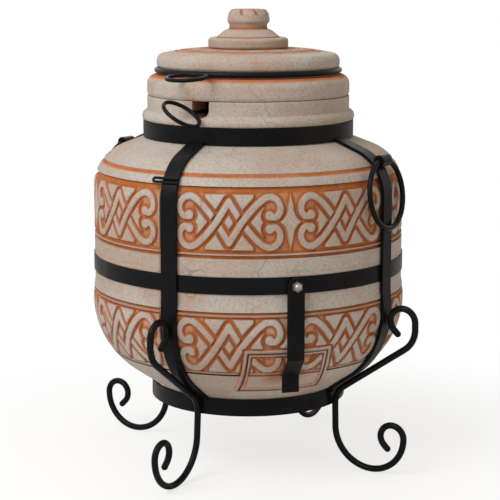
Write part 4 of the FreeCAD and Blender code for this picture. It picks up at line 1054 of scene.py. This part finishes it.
LEG_CORNERS = [
    (263.406, 223.347), (257.395, 229.358, 20.0, -1), (271.537, 263.5, 20.0, -1), (291.537, 243.5),
    (291.537, 233.708, 40.0, -1), (274.395, 200.882), (172.929, 130.23, 36.0, 1), (157.5, 100.686),
    (157.5, 65.0, 60.0, 1), (217.5, 5.0, 55.0, 1), (272.5, 60.0, 19.0, 1), (253.5, 79.0, 19.0, 1),
    (240.065, 46.565), (246.075, 40.555)]
LEG_BAR = 9.96
LEG_LEAN = 2.37


class TANDOOR_OT_wire_iron(bpy.types.Operator):
    """Build the four scroll legs from round bar and the wire hoop round the lid"""
    bl_idname = "tandoor.wire_iron"
    bl_label = "Scroll legs and lid hoop"

    def execute(self, context):
        spacing = 2.2
        path = even(trace(LEG_CORNERS), spacing)
        first, last = path[0] - path[1], path[-1] - path[-2]
        tips = np.array([4.6, 4.0, 3.0, 1.6]) / spacing
        path = joined(path[0] + first * tips, path, path[-1] + last * tips[::-1])
        scale = bar_ends(path, LEG_BAR)
        section = round_section(LEG_BAR)
        for number, side in enumerate(("front", "right", "back", "left")):
            lean = (-LEG_LEAN, LEG_LEAN)[number % 2]
            leg = sweep("iron_leg_" + side, path, section, scale, 90.0 * number, lean, LEG_BAR / 2)
            finish_piece(leg, POT, "wrought_iron", "leg_" + side)
        outline = complex(HOOP_RADIUS, HOOP_HEIGHT) + round_section(HOOP_WIRE)
        hoop = swung("iron_hoop", polar_points(*spread(outline, full_turn(256))))
        finish_piece(hoop, "lid", "wrought_iron", "lid_hoop")
        return {"FINISHED"}


class TANDOOR_OT_frame_pieces(bpy.types.Operator):
    """Dress the pieces of the frame that are shown as they are"""
    bl_idname = "tandoor.frame_pieces"
    bl_label = "Flat bar and fittings"

    def execute(self, context):
        for part in frame["record"]["subparts"]:
            dress(frame["nodes"][part["node"]], finish_of(part["material_slot"]))
        return {"FINISHED"}


# ---- stage

WHITE, WARM = (1.0, 1.0, 1.0), (1.0, 0.78, 0.58)
# Each light's azimuth, elevation, distance, size, power and colour, in metres and watts.
LIGHTS = {"key": (-12, 40, 2.7, 1.6, 54.0, WHITE), "fill": (100, 10, 3.0, 2.0, 9.0, WARM),
          "top": (0, 80, 2.4, 1.6, 9.0, WHITE), "back": (215, 35, 3.0, 2.0, 14.0, WHITE)}
AIM_HEIGHT = 0.33
SKY_STRENGTH, SKY_COLOUR = 0.38, (1.0, 0.9, 0.78)
FLOOR_HALF, FLOOR_DROP = 9000, 0.2
CAMERA_PLACE = (1.2021, -2.0605, 0.7547)
CAMERA_TURN = (math.radians(90 - 10.2), 0, math.radians(30.26))
CAMERA_LENS, CAMERA_SHIFT = 111.3, 0.00355


def build_floor():
    """A pale floor that keeps the shadow and fades to white further off, for the camera alone."""
    ends = (-FLOOR_HALF, FLOOR_HALF)
    grid = np.array([[(x, y, -FLOOR_DROP) for x in ends] for y in ends], float)
    floor = grid_object("floor", grid)
    tree, shader, place = new_finish("pale_floor")
    fill_inputs(shader, Base_Color=rgba(colours().floor), Roughness=0.9, Specular_IOR_Level=0.1)
    white = node_of(tree, "Emission", Color=rgba(WHITE), Strength=1.0)
    seen = node_of(tree, "LightPath", out="Is Camera Ray")
    away = node_of(tree, "VectorMath", {"operation": "LENGTH"}, "Value", i0=place)
    near, far, share_near = 0.25, 0.8, 0.74
    fade = ramp(away, near, far, share_near)
    blend = node_of(tree, "MixShader", i0=times(seen, fade), i1=shader.outputs[0], i2=white)
    fill_inputs(tree.get_output_node("ALL"), Surface=blend)
    dress(floor, bpy.data.materials["pale_floor"])


def build_world(scene):
    """A dim warm sky for light, white where the camera or a reflection sees it."""
    world = bpy.data.worlds.new("studio")
    scene.world = world
    world.use_nodes = True
    tree = world.node_tree
    tree.nodes.clear()
    path = tree.nodes.new("ShaderNodeLightPath").outputs
    direct = math_of("MAXIMUM", path["Is Camera Ray"], path["Is Transmission Ray"])
    direct = math_of("MAXIMUM", direct, path["Is Glossy Ray"])
    strength = ramp(direct, 0.0, 1.0, SKY_STRENGTH, 1.0, "LINEAR")
    background = node_of(tree, "Background", Strength=strength,
                         Color=mixed(direct, rgba(SKY_COLOUR), rgba(WHITE)))
    fill_inputs(tree.nodes.new("ShaderNodeOutputWorld"), Surface=background)


class TANDOOR_OT_stage(bpy.types.Operator):
    """Build the floor, the lights, the world and the camera"""
    bl_idname = "tandoor.stage"
    bl_label = "Stage"

    def execute(self, context):
        scene = context.scene
        scene.view_settings.view_transform = "Standard"
        build_floor()
        build_world(scene)
        for name, (azimuth, elevation, distance, size, power, colour) in LIGHTS.items():
            lamp = bpy.data.lights.new(name, "AREA")
            lamp.shape, lamp.size, lamp.energy, lamp.color = "DISK", size, power, colour
            light = linked(name, lamp)
            up = math.radians(elevation)
            spot = at_azimuth(math.cos(up), 0.0, math.sin(up), azimuth)
            light.location = spot * distance + (0, 0, AIM_HEIGHT)
            light.rotation_euler = (math.pi / 2 - up, 0, math.radians(azimuth))
        view = bpy.data.cameras.new("view")
        view.lens, view.sensor_width, view.shift_x = CAMERA_LENS, 36.0, CAMERA_SHIFT
        view.clip_end = 60.0
        camera = linked("view", view)
        camera.location = CAMERA_PLACE
        camera.rotation_euler = CAMERA_TURN
        scene.camera = camera
        return {"FINISHED"}


class TANDOOR_PT_panel(bpy.types.Panel):
    """Lists the tandoor's pieces in the sidebar"""
    bl_label = "Clay Tandoor"
    bl_idname = "TANDOOR_PT_panel"
    bl_space_type = "VIEW_3D"
    bl_region_type = "UI"
    bl_category = "Tandoor"

    def draw(self, context):
        for settings in (sizes(), colours()):
            for name in settings.bl_rna.properties.keys():
                if name not in ("rna_type", "name"):
                    self.layout.prop(settings, name)
        for operator in OPERATORS:
            self.layout.operator(operator.bl_idname)


OPERATORS = (
    TANDOOR_OT_frame_pieces, TANDOOR_OT_bowl, TANDOOR_OT_shoulder, TANDOOR_OT_friezes,
    TANDOOR_OT_ash_door, TANDOOR_OT_neck, TANDOOR_OT_lid, TANDOOR_OT_wire_iron, TANDOOR_OT_stage)
CLASSES = (TandoorSizes, TandoorColours, *OPERATORS, TANDOOR_PT_panel)


def register():
    for cls in CLASSES:
        bpy.utils.register_class(cls)
    bpy.types.Scene.tandoor_sizes = PointerProperty(type=TandoorSizes)
    bpy.types.Scene.tandoor_colours = PointerProperty(type=TandoorColours)


def unregister():
    del bpy.types.Scene.tandoor_sizes
    del bpy.types.Scene.tandoor_colours
    for cls in reversed(CLASSES):
        bpy.utils.unregister_class(cls)


def main():
    register()
    for operator in OPERATORS:
        getattr(bpy.ops.tandoor, operator.bl_idname.split(".")[1])()


if __name__ == "__main__":
    main()
